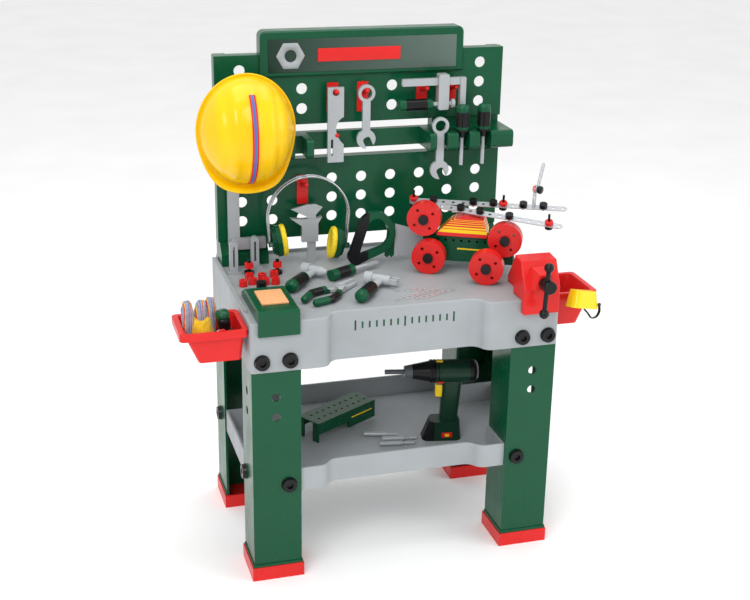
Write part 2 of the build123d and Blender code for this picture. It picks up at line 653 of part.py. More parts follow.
# ---- tools lying on the table --------------------------------------------------------------------------
with BuildPart() as hand_saw:
    with BuildSketch(Plane.XZ.offset(-70)):
        with BuildLine():
            Polyline((30, 556), (36, 628), (150, 590), (150, 556))
            for tooth in range(12):
                right = 150 - tooth * 10
                Polyline((right, 556), (right - 5, 551), (right - 10, 556))
        make_face()
    extrude(amount=1.6)
    with BuildSketch(Plane.XZ.offset(-76)):
        with BuildLine():
            ThreePointArc((-22, 636), (8, 652), (40, 634))
            ThreePointArc((40, 634), (50, 596), (30, 566))
            Line((30, 566), (-20, 546))
            ThreePointArc((-20, 546), (-44, 548), (-44, 570))
            Line((-44, 570), (-22, 636))
        make_face()
        with BuildLine(mode=Mode.PRIVATE) as finger_hole:
            ThreePointArc((-6, 628), (10, 638), (30, 624))
            ThreePointArc((30, 624), (36, 596), (20, 576))
            Line((20, 576), (-26, 562))
            Line((-26, 562), (-6, 628))
        make_face(finger_hole.line, mode=Mode.SUBTRACT)
    extrude(amount=14)
keep(hand_saw.part, "hand_saw")


def hammer(origin, heading, neck, head_half, claw):
    """Hammer lying on its side: grip at the origin end, head across the far end."""
    plane = lying(origin, heading)
    with BuildPart(plane) as tool:
        with Locations(Location((0, 0, 13.5), (0, 90, 0))):
            Cylinder(13, 62, align=(Align.CENTER, Align.CENTER, Align.MIN))
        fillet(tool.faces().sort_by(lambda f: f.center().dot(plane.x_dir))[0].edges(), 9)
        with Locations(Location((60, 0, 13.5), (0, 90, 0))):
            Cylinder(7, neck - 60, align=(Align.CENTER, Align.CENTER, Align.MIN))
        with Locations(Location((neck, head_half, 13.5), (90, 0, 0))):
            Cylinder(10, 2 * head_half - 14, align=(Align.CENTER, Align.CENTER, Align.MIN))
        with Locations(Location((neck, head_half, 13.5), (90, 0, 0))):
            Cylinder(13, 16, align=(Align.CENTER, Align.CENTER, Align.MIN))
        if claw:
            with Locations((neck + 2, -head_half + 12, 13.5)):
                Box(20, 26, 9)
            with Locations((neck + 2, -head_half + 4, 13.5)):
                Box(5, 20, 12, mode=Mode.SUBTRACT)
        else:
            with Locations(Location((neck, -head_half + 14, 13.5), (90, 0, 0))):
                Cone(10, 5, 14, align=(Align.CENTER, Align.CENTER, Align.MIN))
    return tool.part


LIE_Z = TABLE_Z + GAP
keep(hammer((-200, -62, LIE_Z), 50, 112, 27, False), "cross_hammer")
keep(hammer((-84, -147, LIE_Z), 52, 112, 33, True), "claw_hammer")

with BuildPart(lying((-104, -10, LIE_Z), 28)) as chisel:
    with Locations(Location((0, 0, 12), (0, 90, 0))):
        Cylinder(11.5, 58, align=(Align.CENTER, Align.CENTER, Align.MIN))
        Cylinder(4, 96, align=(Align.CENTER, Align.CENTER, Align.MIN))
    with Locations((110, 0, 12)):
        Box(36, 12, 3)
keep(chisel.part, "chisel")

PLIERS_PIVOT = (-100, -70)
PLIERS_HEADING = 38


def pliers_half(side, low, high):
    """One jaw with its cranked handle; the two halves lap at the pivot."""
    plane = lying((PLIERS_PIVOT[0], PLIERS_PIVOT[1], LIE_Z), PLIERS_HEADING)
    with BuildPart(plane) as half:
        with BuildSketch(plane.offset(low)):
            Circle(11)
            nose = ((2, side * 2), (9, side * 9), (46, side * 5), (46, side * 0.6), (12, side * 0.6))
            Polygon(*nose, align=None)
            grip = ((7, side * 8), (-20, -side * 8), (-34, -side * 14), (-34, -side * 25), (0, -side * 10))
            Polygon(*grip, align=None)
        extrude(amount=high - low)
        grip = ((-30, -18), (-60, -25), (-94, -14))
        for begin, end in zip(grip[:-1], grip[1:]):
            run = math.degrees(math.atan2((end[1] - begin[1]) * side, end[0] - begin[0]))
            length = math.hypot(end[0] - begin[0], end[1] - begin[1])
            with Locations(Location((begin[0], begin[1] * side, 8), (0, 0, run))):
                with Locations(Location((0, 0, 0), (0, 90, 0))):
                    Cylinder(7.5, length, align=(Align.CENTER, Align.CENTER, Align.MIN))
        with Locations(*[(x, y * side, 8) for x, y in grip]):
            Sphere(7.5)
        Cylinder(4.1, 40, mode=Mode.SUBTRACT)
    return half.part


upper_half = pliers_half(1, 8.2, 14)
with BuildPart() as pliers_fixed:
    add(upper_half)
    pivot = Vector(PLIERS_PIVOT[0], PLIERS_PIVOT[1], LIE_Z)
    rod(pivot + Vector(0, 0, 1), pivot + Vector(0, 0, 15), 4)
    rod(pivot + Vector(0, 0, 8.2), pivot + Vector(0, 0, 14), 4.2)
    rod(pivot + Vector(0, 0, 14), pivot + Vector(0, 0, 16.5), 7)
keep(pliers_fixed.part, "pliers_fixed_half")
keep(pliers_half(-1, 2, 7.8), "pliers_moving_half")


def perforated_strip(plane, length, width=13, thick=1.6, start_offset=0, hole=3, pitch_near=13):
    """Flat strip with rounded ends and a row of round holes."""
    count = max(2, round(length / pitch_near))
    pitch = (length - width) / (count - 1)
    with BuildPart() as strip:
        with BuildSketch(plane.offset(start_offset)):
            with Locations((length / 2, 0)):
                SlotOverall(length, width)
            with Locations(*[(width / 2 + pitch * step, 0) for step in range(count)]):
                Circle(hole, mode=Mode.SUBTRACT)
        extrude(amount=thick)
    return strip.part


with BuildPart() as kit_strips:
    add(perforated_strip(lying((4, -93, LIE_Z), -8), 60))
    add(perforated_strip(lying((-10, -146, LIE_Z), 24), 106))
    add(perforated_strip(lying((28, -148, LIE_Z), 22), 96))
keep(kit_strips.part, "kit_strips")

with BuildPart() as loose_fasteners:
    for x, y in ((-277, 4), (-257, 12), (-258, 38), (-233, 33), (-207, 44), (-213, 2), (-232, 6)):
        with BuildSketch(Plane((x, y, LIE_Z))):
            RegularPolygon(9, 6, rotation=x)
            Circle(4, mode=Mode.SUBTRACT)
        extrude(amount=13)
    for x, y in ((-252, 70), (-196, 62)):
        rod((x, y, LIE_Z), (x, y, LIE_Z + 7), 10)
        rod((x, y, LIE_Z + 6), (x, y, LIE_Z + 30), 3.8)
        rod((x, y, LIE_Z + 14), (x, y, LIE_Z + 24), 9)
    with Locations((-246, -22, LIE_Z)):
        Cylinder(10, 16, align=(Align.CENTER, Align.CENTER, Align.MIN))
keep(loose_fasteners.part, "loose_fasteners")

# ---- construction-kit vehicle -----------------------------------------------------------------------------
CAR = Plane(origin=(165, -30, TABLE_Z + GAP), x_dir=(0.89, -0.456, 0), z_dir=(0, 0, 1))
WHEELS = {
    "front_low": (-69, -4, 34.2),
    "rear_low": (52, -44, 34.2),
    "front_high": (-83, 14, 108),
    "rear_high": (82, 7, 78),
}
AXLE_END_Y = 24


def car_box(x, y, z, mode=Mode.ADD):
    """Block in the vehicle's own directions."""
    with Locations(((x[0] + x[1]) / 2, (y[0] + y[1]) / 2, (z[0] + z[1]) / 2)):
        Box(x[1] - x[0], y[1] - y[0], z[1] - z[0], mode=mode)


def car_pin(x, z, y_near, y_far, radius, mode=Mode.ADD):
    """Pin across the vehicle."""
    with Locations(Location((x, y_far, z), (90, 0, 0))):
        Cylinder(radius, y_far - y_near, align=(Align.CENTER, Align.CENTER, Align.MIN), mode=mode)


with BuildPart(CAR) as car_chassis:
    car_box((-86, 98), (24, 27), (18, 74))
    car_box((-86, 98), (24, 52), (71, 74))
    car_box((-86, 98), (49, 52), (18, 74))
    car_box((62, 98), (24, 27), (60, 92))
    for x in range(-72, 96, 16):
        car_pin(x, 62, 20, 56, 2.6, Mode.SUBTRACT)
keep(car_chassis.part, "car_chassis")

with BuildPart(CAR) as car_bonnet:
    with BuildSketch(Plane(CAR.from_local_coords(Vector(0, 12, 0)), x_dir=CAR.x_dir, z_dir=-CAR.y_dir)):
        Polygon((-57, 74.3), (44, 74.3), (44, 86), (36, 112), (-4, 118), (-30, 106), (-57, 80), align=None)
    extrude(amount=-42)
keep(car_bonnet.part, "car_bonnet")

WING_Z = 130
STRIP_JOIN = CAR.from_local_coords(Vector(-111, 46, WING_Z))
STRIP_WIDTH = 16
STRIP_TILT = math.radians(18)


def wing_strip_plane(heading, lift):
    """Plane of one wing strip, tipped forward: its first hole lies on the bolt that joins both strips."""
    along = Vector(*heading).normalized()
    across = Vector(0, 0, 1).cross(along).normalized()
    facing = along.cross(across) * math.cos(STRIP_TILT) - across * math.sin(STRIP_TILT)
    return Plane(STRIP_JOIN - along * STRIP_WIDTH / 2 + facing * lift, x_dir=along, z_dir=facing)


NEAR_STRIP = wing_strip_plane((0.8, -0.6, -0.05), 0)
FAR_STRIP = wing_strip_plane((0.93, -0.36, -0.02), 3.4)
STRIP_LENGTH = 318
STRIP_HOLES = 16
STRIP_STEP = (STRIP_LENGTH - STRIP_WIDTH) / (STRIP_HOLES - 1)


def strip_point(strip, step, height=0):
    """Point above one hole of a wing strip."""
    return strip.from_local_coords(Vector(STRIP_WIDTH / 2 + step * STRIP_STEP, 0, height))


FIN_FOOT = strip_point(FAR_STRIP, 12, 1.2)
with BuildPart(CAR) as wing_bracket:
    car_box((-92, -78), (28.3, 30), (96, WING_Z))
    car_box((-92, -78), (28.3, 46), (WING_Z - 1.6, WING_Z))
    car_box((-30, -18), (30, 32), (119, 127.5))

with BuildPart() as car_wing:
    add(wing_bracket.part)
    for strip in (NEAR_STRIP, FAR_STRIP):
        pitch = STRIP_LENGTH / STRIP_HOLES
        add(perforated_strip(strip, STRIP_LENGTH, STRIP_WIDTH, hole=3.6, pitch_near=pitch))
    add(perforated_strip(Plane(FIN_FOOT + Vector(0, 0, -2), x_dir=(0.1, 0, 1), z_dir=(0.6, -0.8, 0)), 44))
    fin_top = Plane(FIN_FOOT + Vector(3, 0, 30), x_dir=(0.45, 0, 0.9), z_dir=(0.6, -0.8, 0))
    add(perforated_strip(fin_top, 62, start_offset=1.6))
keep(car_wing.part, "car_wing")

WHEEL_SEATS = {"front_low": 24, "rear_low": 24, "front_high": 28.3, "rear_high": 24}
with BuildPart(CAR) as axles:
    for wheel_name, (x, y, z) in WHEELS.items():
        near = y - WHEEL_WIDTH / 2 - GAP
        car_pin(x, z, near - 6, near, 10)
        car_pin(x, z, near - 1, WHEEL_SEATS[wheel_name], 5)
with BuildPart() as car_fasteners:
    add(axles.part)
    for strip, steps in ((NEAR_STRIP, (5, 7, 10)), (FAR_STRIP, (2, 6, 8, 11, 13))):
        for step in steps:
            rod(strip_point(strip, step, 1.65), strip_point(strip, step, 10.5), 8)
            rod(strip_point(strip, step, -5), strip_point(strip, step, 2.5), 2.6)
    for strip, step, below in ((NEAR_STRIP, 14, -0.05), (FAR_STRIP, 9, -0.05), (FAR_STRIP, 0, -3.9)):
        rod(strip_point(strip, step, below - 7), strip_point(strip, step, below), 8)
        rod(strip_point(strip, step, below - 1), strip_point(strip, step, 25), 2.4)
keep(car_fasteners.part, "car_fasteners")

for wheel_name, (x, y, z) in WHEELS.items():
    with BuildPart(CAR) as wheel:
        car_pin(x, z, y - WHEEL_WIDTH / 2, y + WHEEL_WIDTH / 2, WHEEL_RADIUS)
        car_pin(x, z, y - WHEEL_WIDTH, y + WHEEL_WIDTH, 5.1, Mode.SUBTRACT)
        for turn in range(4):
            angle = math.radians(90 * turn + 35)
            hole_x = x + 22 * math.cos(angle)
            hole_z = z + 22 * math.sin(angle)
            car_pin(hole_x, hole_z, y - WHEEL_WIDTH, y + WHEEL_WIDTH, 3.2, Mode.SUBTRACT)
    keep(wheel.part, f"wheel_{wheel_name}")

# ---- things on the shelf -------------------------------------------------------------------
SHELF_Z = SHELF_FLOOR + GAP
PLATE = Plane(origin=(-132, -8, SHELF_Z), x_dir=(0.86, 0.51, 0), z_dir=(0, 0, 1))
with BuildPart(PLATE) as kit_plate:
    with Locations((85, 25, 42)):
        Box(170, 60, 3)
    with Locations((85, -3.5, 31)):
        Box(170, 3, 25)
    with Locations((130, -3.5, 24)):
        Box(80, 3, 38)
    with Locations((85, 53.5, 31)):
        Box(170, 3, 25)
    for y in (4, 46):
        with Locations((1.5, y, 21.5)):
            Box(3, 16, 43)
    for x in range(20, 160, 17):
        with Locations((x, 14, 42), (x, 36, 42)):
            Cylinder(3, 10, mode=Mode.SUBTRACT)
keep(kit_plate.part, "kit_plate")

with BuildPart() as drill_bits:
    for start, heading, radius in (((-29, -4), -16, 5), ((-10, -56), -10, 5), ((0, -38), -9, 6)):
        turn = math.radians(heading)
        run = Vector(math.cos(turn), math.sin(turn), 0)
        base = Vector(start[0], start[1], SHELF_Z + radius)
        rod(base, base + run * 46, radius)
        rod(base + run * 46, base + run * 72, radius * 0.55)
keep(drill_bits.part, "drill_bits")

DRILL = Plane(origin=(140, -45, SHELF_Z), x_dir=(0.98, -0.2, 0), z_dir=(0, 0, 1))
BARREL_Z = 148
with BuildPart(DRILL) as drill_body:
    with Locations(Location((-42, 0, BARREL_Z), (0, 90, 0))):
        Cylinder(24, 100, align=(Align.CENTER, Align.CENTER, Align.MIN))
    fillet(drill_body.faces().sort_by(lambda f: f.center().dot(DRILL.x_dir))[-1].edges(), 12)
    with BuildSketch(DRILL.offset(40)):
        with Locations((0, 0)):
            RectangleRounded(36, 30, 10)
    with BuildSketch(DRILL.offset(BARREL_Z - 12)):
        with Locations((6, 0)):
            RectangleRounded(40, 32, 10)
    loft()
    with BuildSketch(DRILL):
        with Locations((-14, 0)):
            RectangleRounded(82, 48, 14)
    with BuildSketch(DRILL.offset(41)):
        with Locations((-8, 0)):
            RectangleRounded(62, 42, 12)
    loft()
    with Locations((-17, 0, BARREL_Z - 42)):
        Box(16, 12.6, 26.6, mode=Mode.SUBTRACT)
    with Locations(Location((-60, 0, BARREL_Z), (0, 90, 0))):
        Cylinder(6.1, 50, align=(Align.CENTER, Align.CENTER, Align.MIN), mode=Mode.SUBTRACT)
keep(drill_body.part, "drill_body")

with BuildPart(DRILL) as drill_chuck:
    with Locations(Location((-42.3, 0, BARREL_Z), (0, -90, 0))):
        Cone(22, 12, 52, align=(Align.CENTER, Align.CENTER, Align.MIN))
    with Locations(Location((-20, 0, BARREL_Z), (0, -90, 0))):
        Cylinder(6, 24, align=(Align.CENTER, Align.CENTER, Align.MIN))
    with Locations(Location((-90, 0, BARREL_Z), (0, -90, 0))):
        Cylinder(5, 44, align=(Align.CENTER, Align.CENTER, Align.MIN))
keep(drill_chuck.part, "drill_chuck")

with BuildPart(DRILL) as drill_trigger:
    with Locations((-22, 0, BARREL_Z - 42)):
        Box(14, 12, 26)
    fillet(drill_trigger.faces().sort_by(lambda f: f.center().dot(DRILL.x_dir))[0].edges(), 3)
keep(drill_trigger.part, "drill_trigger")
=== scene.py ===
import bpy
import bmesh
import math
from mathutils import Matrix, Vector


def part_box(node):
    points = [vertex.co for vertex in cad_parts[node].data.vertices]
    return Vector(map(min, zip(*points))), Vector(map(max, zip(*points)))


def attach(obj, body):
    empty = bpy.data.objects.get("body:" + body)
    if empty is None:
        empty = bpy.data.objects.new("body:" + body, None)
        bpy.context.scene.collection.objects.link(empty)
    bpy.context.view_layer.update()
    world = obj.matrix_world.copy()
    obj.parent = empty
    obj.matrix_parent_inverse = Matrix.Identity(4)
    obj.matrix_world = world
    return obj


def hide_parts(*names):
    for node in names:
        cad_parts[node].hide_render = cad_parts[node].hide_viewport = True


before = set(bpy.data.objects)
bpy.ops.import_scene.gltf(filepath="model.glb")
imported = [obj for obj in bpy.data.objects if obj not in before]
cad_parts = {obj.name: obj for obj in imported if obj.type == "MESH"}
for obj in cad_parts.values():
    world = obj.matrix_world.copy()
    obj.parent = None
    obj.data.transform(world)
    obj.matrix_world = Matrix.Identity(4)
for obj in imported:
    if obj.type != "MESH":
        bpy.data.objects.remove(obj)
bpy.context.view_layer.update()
scene = bpy.context.scene
scene.view_settings.view_transform = "Standard"

# ---- camera --------------------------------------------------------------------------
EYE = Vector((-0.722, -2.3687, 1.4155))
YAW = 0.29226
PITCH = 0.35913
ROLL = 0.01748
SENSOR_WIDTH = 36
LENS_LENGTH = 62.8944
FAR_CLIP = 20


def make_camera():
    """A long lens looking down and to the right at the bench."""
    ahead = Vector((math.sin(YAW) * math.cos(PITCH), math.cos(YAW) * math.cos(PITCH), -math.sin(PITCH)))
    level = Vector((math.cos(YAW), -math.sin(YAW), 0))
    above = level.cross(ahead)
    right = math.cos(ROLL) * level + math.sin(ROLL) * above
    up = -math.sin(ROLL) * level + math.cos(ROLL) * above
    data = bpy.data.cameras.new("camera")
    data.sensor_width = SENSOR_WIDTH
    data.lens = LENS_LENGTH
    data.clip_end = FAR_CLIP
    camera = bpy.data.objects.new("camera", data)
    turn = Matrix((right, up, -ahead)).transposed().to_4x4()
    camera.matrix_world = Matrix.Translation(EYE) @ turn
    scene.collection.objects.link(camera)
    scene.camera = camera


make_camera()


# ---- light and floor -----------------------------------------------------------------
def soft_light(name, place, target, size, watts):
    """A square softbox aimed at a point."""
    data = bpy.data.lights.new(name, "AREA")
    data.size = size
    data.energy = watts
    lamp = bpy.data.objects.new(name, data)
    aim = (Vector(target) - Vector(place)).to_track_quat("-Z", "Y")
    lamp.matrix_world = Matrix.Translation(place) @ aim.to_matrix().to_4x4()
    scene.collection.objects.link(lamp)


soft_light("key_light", (-1.6, -2.2, 2.6), (0, 0, 0.6), 1.6, 46)
soft_light("fill_light", (2.2, -1.6, 1.6), (0, 0, 0.6), 1.8, 20)
soft_light("top_light", (0, 0.2, 3.0), (0, 0, 0.5), 2.0, 26)

SKY_STRENGTH = 0.86
world = bpy.data.worlds.new("studio")
world.use_nodes = True
world.node_tree.nodes["Background"].inputs["Color"].default_value = (1, 1, 1, 1)
world.node_tree.nodes["Background"].inputs["Strength"].default_value = SKY_STRENGTH
scene.world = world


# ---- materials -----------------------------------------------------------------------
def linear(red, green, blue):
    """Display colour, 0 to 255, as linear light."""
    values = []
    for level in (red, green, blue):
        share = level / 255
        values.append(share / 12.92 if share <= 0.04045 else ((share + 0.055) / 1.055) ** 2.4)
    return (*values, 1)


GREEN = linear(0, 76, 47)
DARK_GREEN = linear(14, 52, 36)
GREY = linear(158, 163, 166)
SILVER = linear(172, 177, 180)
RED = linear(214, 34, 32)
YELLOW = linear(250, 208, 20)
BLACK = linear(13, 14, 16)
BLUE = linear(70, 110, 170)
STRIPE_GREY = linear(150, 155, 175)
BEIGE = linear(240, 182, 128)


class Nodes:
    """Short hand for building one material's node tree."""

    def __init__(self, name):
        self.material = bpy.data.materials.new(name)
        self.material.use_nodes = True
        self.tree = self.material.node_tree
        self.shader = self.tree.nodes["Principled BSDF"]
        self.place = self.add("ShaderNodeTexCoord").outputs["Object"]

    def add(self, kind, **settings):
        node = self.tree.nodes.new(kind)
        for key, value in settings.items():
            setattr(node, key, value)
        return node

    def link(self, source, target):
        self.tree.links.new(source, target)

    def noise(self, scale, detail=3, stretch=(1, 1, 1)):
        mapping = self.add("ShaderNodeMapping")
        mapping.inputs["Scale"].default_value = stretch
        self.link(self.place, mapping.inputs["Vector"])
        node = self.add("ShaderNodeTexNoise")
        node.inputs["Scale"].default_value = scale
        node.inputs["Detail"].default_value = detail
        self.link(mapping.outputs["Vector"], node.inputs["Vector"])
        return node.outputs["Fac"]

    def spread(self, source, low, high, start=0.3, end=0.7):
        node = self.add("ShaderNodeMapRange")
        node.inputs["From Min"].default_value = start
        node.inputs["From Max"].default_value = end
        node.inputs["To Min"].default_value = low
        node.inputs["To Max"].default_value = high
        self.link(source, node.inputs["Value"])
        return node.outputs["Result"]

    def mix(self, share, first, second):
        node = self.add("ShaderNodeMix", data_type="RGBA")
        for value, socket in ((share, node.inputs[0]), (first, node.inputs[6]), (second, node.inputs[7])):
            if isinstance(value, bpy.types.NodeSocket):
                self.link(value, socket)
            else:
                socket.default_value = value
        return node.outputs[2]

    def bump(self, height, strength, distance):
        node = self.add("ShaderNodeBump")
        node.inputs["Strength"].default_value = strength
        node.inputs["Distance"].default_value = distance
        self.link(height, node.inputs["Height"])
        self.link(node.outputs["Normal"], self.shader.inputs["Normal"])

    def along(self, origin, direction, length):
        """0 to 1 along a direction from a point of the row frame."""
        shift = self.add("ShaderNodeVectorMath", operation="SUBTRACT")
        self.link(self.place, shift.inputs[0])
        shift.inputs[1].default_value = origin
        dot = self.add("ShaderNodeVectorMath", operation="DOT_PRODUCT")
        self.link(shift.outputs["Vector"], dot.inputs[0])
        dot.inputs[1].default_value = Vector(direction).normalized()
        return self.spread(dot.outputs["Value"], 0, 1, 0, length)

    def steps(self, source, stops):
        """Colour that changes in clean steps at the given shares."""
        node = self.add("ShaderNodeValToRGB")
        node.color_ramp.interpolation = "CONSTANT"
        ramp = node.color_ramp.elements
        ramp[0].position = stops[0][0]
        ramp[0].color = stops[0][1]
        ramp[1].position = stops[1][0]
        ramp[1].color = stops[1][1]
        for share, colour in stops[2:]:
            ramp.new(share).color = colour
        self.link(source, node.inputs["Fac"])
        return node.outputs["Color"]


def finish_plastic(nodes, colour, rough, coat, grain, metal=0.0):
    """Moulded plastic: faint flow clouding, handling marks in the gloss and a fine skin texture."""
    clouds = nodes.spread(nodes.noise(9, 4), 0, 1)
    if isinstance(colour, bpy.types.NodeSocket):
        shade = nodes.add("ShaderNodeHueSaturation")
        shade.inputs["Value"].default_value = 0.9
        nodes.link(colour, shade.inputs["Color"])
        base = nodes.mix(clouds, shade.outputs["Color"], colour)
    else:
        base = nodes.mix(clouds, [channel * 0.88 for channel in colour[:3]] + [1], colour)
    nodes.link(base, nodes.shader.inputs["Base Color"])
    smears = nodes.noise(26, 5, (1, 1, 0.35))
    nodes.link(nodes.spread(smears, rough - 0.06, rough + 0.1), nodes.shader.inputs["Roughness"])
    nodes.shader.inputs["Metallic"].default_value = metal
    nodes.shader.inputs["Specular IOR Level"].default_value = 0.22
    nodes.shader.inputs["Coat Weight"].default_value = coat * 0.3
    nodes.shader.inputs["Coat Roughness"].default_value = 0.12
    nodes.bump(nodes.noise(420, 2), grain, 0.0006)
    return nodes.material


def plastic(name, colour, rough=0.32, coat=0.35, grain=0.1, metal=0.0):
    """One-colour moulded plastic."""
    return finish_plastic(Nodes(name), colour, rough, coat, grain, metal)


def banded(name, origin, direction, length, stops, rough=0.34, coat=0.3, metal=0.0):
    """Plastic moulded in several colours along one direction."""
    nodes = Nodes(name)
    colour = nodes.steps(nodes.along(origin, direction, length), stops)
    return finish_plastic(nodes, colour, rough, coat, 0.12, metal)


def woven(name, colour_source, scale=700):
    """Knitted cloth: crossed threads, fuzz and soft sheen. colour_source builds the colour from the nodes."""
    nodes = Nodes(name)
    colour = colour_source(nodes)
    fuzz = nodes.spread(nodes.noise(120, 5), 0, 1)
    darker = nodes.add("ShaderNodeHueSaturation")
    darker.inputs["Value"].default_value = 0.72
    nodes.link(colour, darker.inputs["Color"])
    nodes.link(nodes.mix(fuzz, darker.outputs["Color"], colour), nodes.shader.inputs["Base Color"])
    nodes.shader.inputs["Roughness"].default_value = 0.9
    nodes.shader.inputs["Sheen Weight"].default_value = 0.35
    weave = nodes.add("ShaderNodeTexVoronoi")
    weave.inputs["Scale"].default_value = scale
    nodes.link(nodes.place, weave.inputs["Vector"])
    nodes.bump(weave.outputs["Distance"], 0.5, 0.0008)
    return nodes.material


green = plastic("green_plastic", GREEN, 0.26, 0.5)
grey = plastic("grey_plastic", GREY, 0.42, 0.12, 0.2)
silver = plastic("silver_plastic", SILVER, 0.3, 0.3, 0.1, 0.35)
red = plastic("red_plastic", RED, 0.3, 0.4)
black = plastic("black_plastic", BLACK, 0.3, 0.35, 0.2)
yellow = plastic("yellow_plastic", YELLOW, 0.24, 0.5)
wire = plastic("sprung_wire", linear(196, 199, 202), 0.22, 0.1, 0.05, 0.9)
tin = plastic("kit_metal", linear(196, 200, 204), 0.3, 0.2, 0.05, 0.45)
rubber = plastic("black_rubber", BLACK, 0.5, 0.05, 0.4)


def paint(material, *names):
    """Give CAD nodes a material in place of the plain one."""
    for name in names:
        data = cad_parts[name].data
        data.materials.clear()
        data.materials.append(material)


paint(green, "legs_front", "legs_rear", "lower_panel", "upper_panel", "uprights", "header")
paint(green, "tool_rail", "corner_block", "ear_cup_left", "ear_cup_right", "car_chassis", "kit_plate")
paint(grey, "tabletop", "shelf_tray", "saw_guides")
paint(red, "foot_caps", "vise_base", "vise_jaw", "box_left", "box_right", "panel_hooks")
paint(red, "wheel_front_low", "wheel_rear_low", "wheel_front_high", "wheel_rear_high")
paint(black, "frame_bolts", "vise_screw", "car_fasteners")
paint(yellow, "goggles_frame", "drill_trigger")
paint(silver, "wrench_hung", "wrench_racked", "wavy_gauge", "clamp_bar", "clamp_slide")
paint(silver, "square_stock", "square_blade", "caliper_beam", "caliper_slider", "drill_bits")
paint(tin, "kit_strips", "car_wing")
paint(wire, "ear_band")


def fastener_material():
    """Red nuts; black bolts stand behind them and one black head in front."""
    nodes = Nodes("loose_fastener_colours")
    backward = nodes.along((0, -0.034, 0), (0, 1, 0), 0.112)
    upward = nodes.along((0, 0, 0.538), (0, 0, 1), 0.04)
    depth = nodes.steps(backward, [(0, BLACK), (0.2, RED), (0.75, BLACK)])
    height = nodes.steps(upward, [(0, BLACK), (0.345, RED), (0.63, BLACK)])
    behind = nodes.along((0, 0.0495, 0), (0, 1, 0), 0.0001)
    return finish_plastic(nodes, nodes.mix(behind, depth, height), 0.3, 0.4, 0.1)


def tool_colours():
    """Tools moulded in green, black and silver along their length."""
    for name in ("screwdriver_left", "screwdriver_right"):
        low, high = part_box(name)
        stops = [(0, SILVER), (0.46, BLACK), (0.6, GREEN), (0.64, BLACK), (0.88, GREEN)]
        paint(banded(name, low, (0, 0, 1), high[2] - low[2], stops), name)
    hammers = (("cross_hammer", (-0.200, -0.062, 0), 50), ("claw_hammer", (-0.084, -0.147, 0), 52))
    for name, start, heading in hammers:
        turn = math.radians(heading)
        stops = [(0, GREEN), (0.13, BLACK), (0.47, GREEN), (0.53, SILVER)]
        paint(banded(name, start, (math.cos(turn), math.sin(turn), 0), 0.125, stops), name)
    turn = math.radians(28)
    stops = [(0, GREEN), (0.12, BLACK), (0.36, GREEN), (0.47, SILVER)]
    paint(banded("chisel", (-0.104, -0.010, 0), (math.cos(turn), math.sin(turn), 0), 0.125, stops), "chisel")
    turn = math.radians(38)
    tip = (-0.1 - 0.1 * math.cos(turn), -0.07 - 0.1 * math.sin(turn), 0)
    stops = [(0, GREEN), (0.2, BLACK), (0.42, GREEN), (0.52, SILVER)]
    for name in ("pliers_fixed_half", "pliers_moving_half"):
        paint(banded(name, tip, (math.cos(turn), math.sin(turn), 0), 0.15, stops), name)
    stops = [(0, BLACK), (0.2, GREEN), (0.4925, SILVER)]
    paint(banded("hand_saw", (-0.0455, 0.07, 0.60), (1, 0, -0.02), 0.195, stops), "hand_saw")
    stops = [(0, GREEN), (0.12, BLACK), (0.5, GREEN), (0.62, SILVER)]
    paint(banded("clamp_screw", (0.064, 0, 0), (1, 0, 0), 0.118, stops), "clamp_screw")
    paint(fastener_material(), "loose_fasteners")
    along = (0.98, -0.2, 0)
    stops = [(0, linear(90, 94, 98)), (0.42, BLACK)]
    paint(banded("drill_chuck", (0.014, -0.02, 0), along, 0.12, stops), "drill_chuck")
    stops = [(0, BLACK), (0.12, DARK_GREEN), (0.82, BLACK)]
    paint(banded("drill_body", (0.099, -0.036, 0), along, 0.1, stops), "drill_body")


tool_colours()


def bonnet_material():
    """Red shell with level yellow bands printed on its slopes."""
    nodes = Nodes("bonnet_print")
    low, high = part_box("car_bonnet")
    rise = nodes.along(low, (0, 0, 1), high[2] - low[2])
    edges = (0, 0.17, 0.33, 0.37, 0.45, 0.52, 0.56, 0.63, 0.66, 0.72, 0.74, 0.79, 0.81)
    bands = [(edge, YELLOW if index % 2 else RED) for index, edge in enumerate(edges)]
    return finish_plastic(nodes, nodes.steps(rise, bands), 0.26, 0.5, 0.08)


paint(bonnet_material(), "car_bonnet")


# ---- mesh tools ----------------------------------------------------------------------
def make_object(name, mesh, material, body):
    """Link a mesh as a piece that rides on a body."""
    piece = bpy.data.objects.new(name, mesh)
    scene.collection.objects.link(piece)
    mesh.materials.append(material)
    for face in mesh.polygons:
        face.use_smooth = True
    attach(piece, body)
    return piece


def from_lists(name, points, faces, material, body):
    """Piece from vertex and face lists."""
    mesh = bpy.data.meshes.new(name)
    mesh.from_pydata([tuple(point) for point in points], [], faces)
    mesh.validate()
    mesh.update()
    return make_object(name, mesh, material, body)


def grid_faces(rows, columns, closed):
    """Quads between rings of points."""
    faces = []
    for row in range(rows - 1):
        for column in range(columns if closed else columns - 1):
            after = (column + 1) % columns
            near = row * columns
            far = near + columns
            faces.append((near + column, near + after, far + after, far + column))
    return faces


def rounded_block(name, size, edge, place, material, body):
    """Bevelled block; place is a 4x4 matrix or a centre."""
    shape = bmesh.new()
    bmesh.ops.create_cube(shape, size=1)
    bmesh.ops.scale(shape, vec=size, verts=shape.verts)
    bmesh.ops.bevel(shape, geom=shape.edges[:], offset=edge, segments=4, profile=0.5, affect="EDGES")
    matrix = place if isinstance(place, Matrix) else Matrix.Translation(place)
    bmesh.ops.transform(shape, matrix=matrix, verts=shape.verts)
    mesh = bpy.data.meshes.new(name)
    shape.to_mesh(mesh)
    shape.free()
    return make_object(name, mesh, material, body)


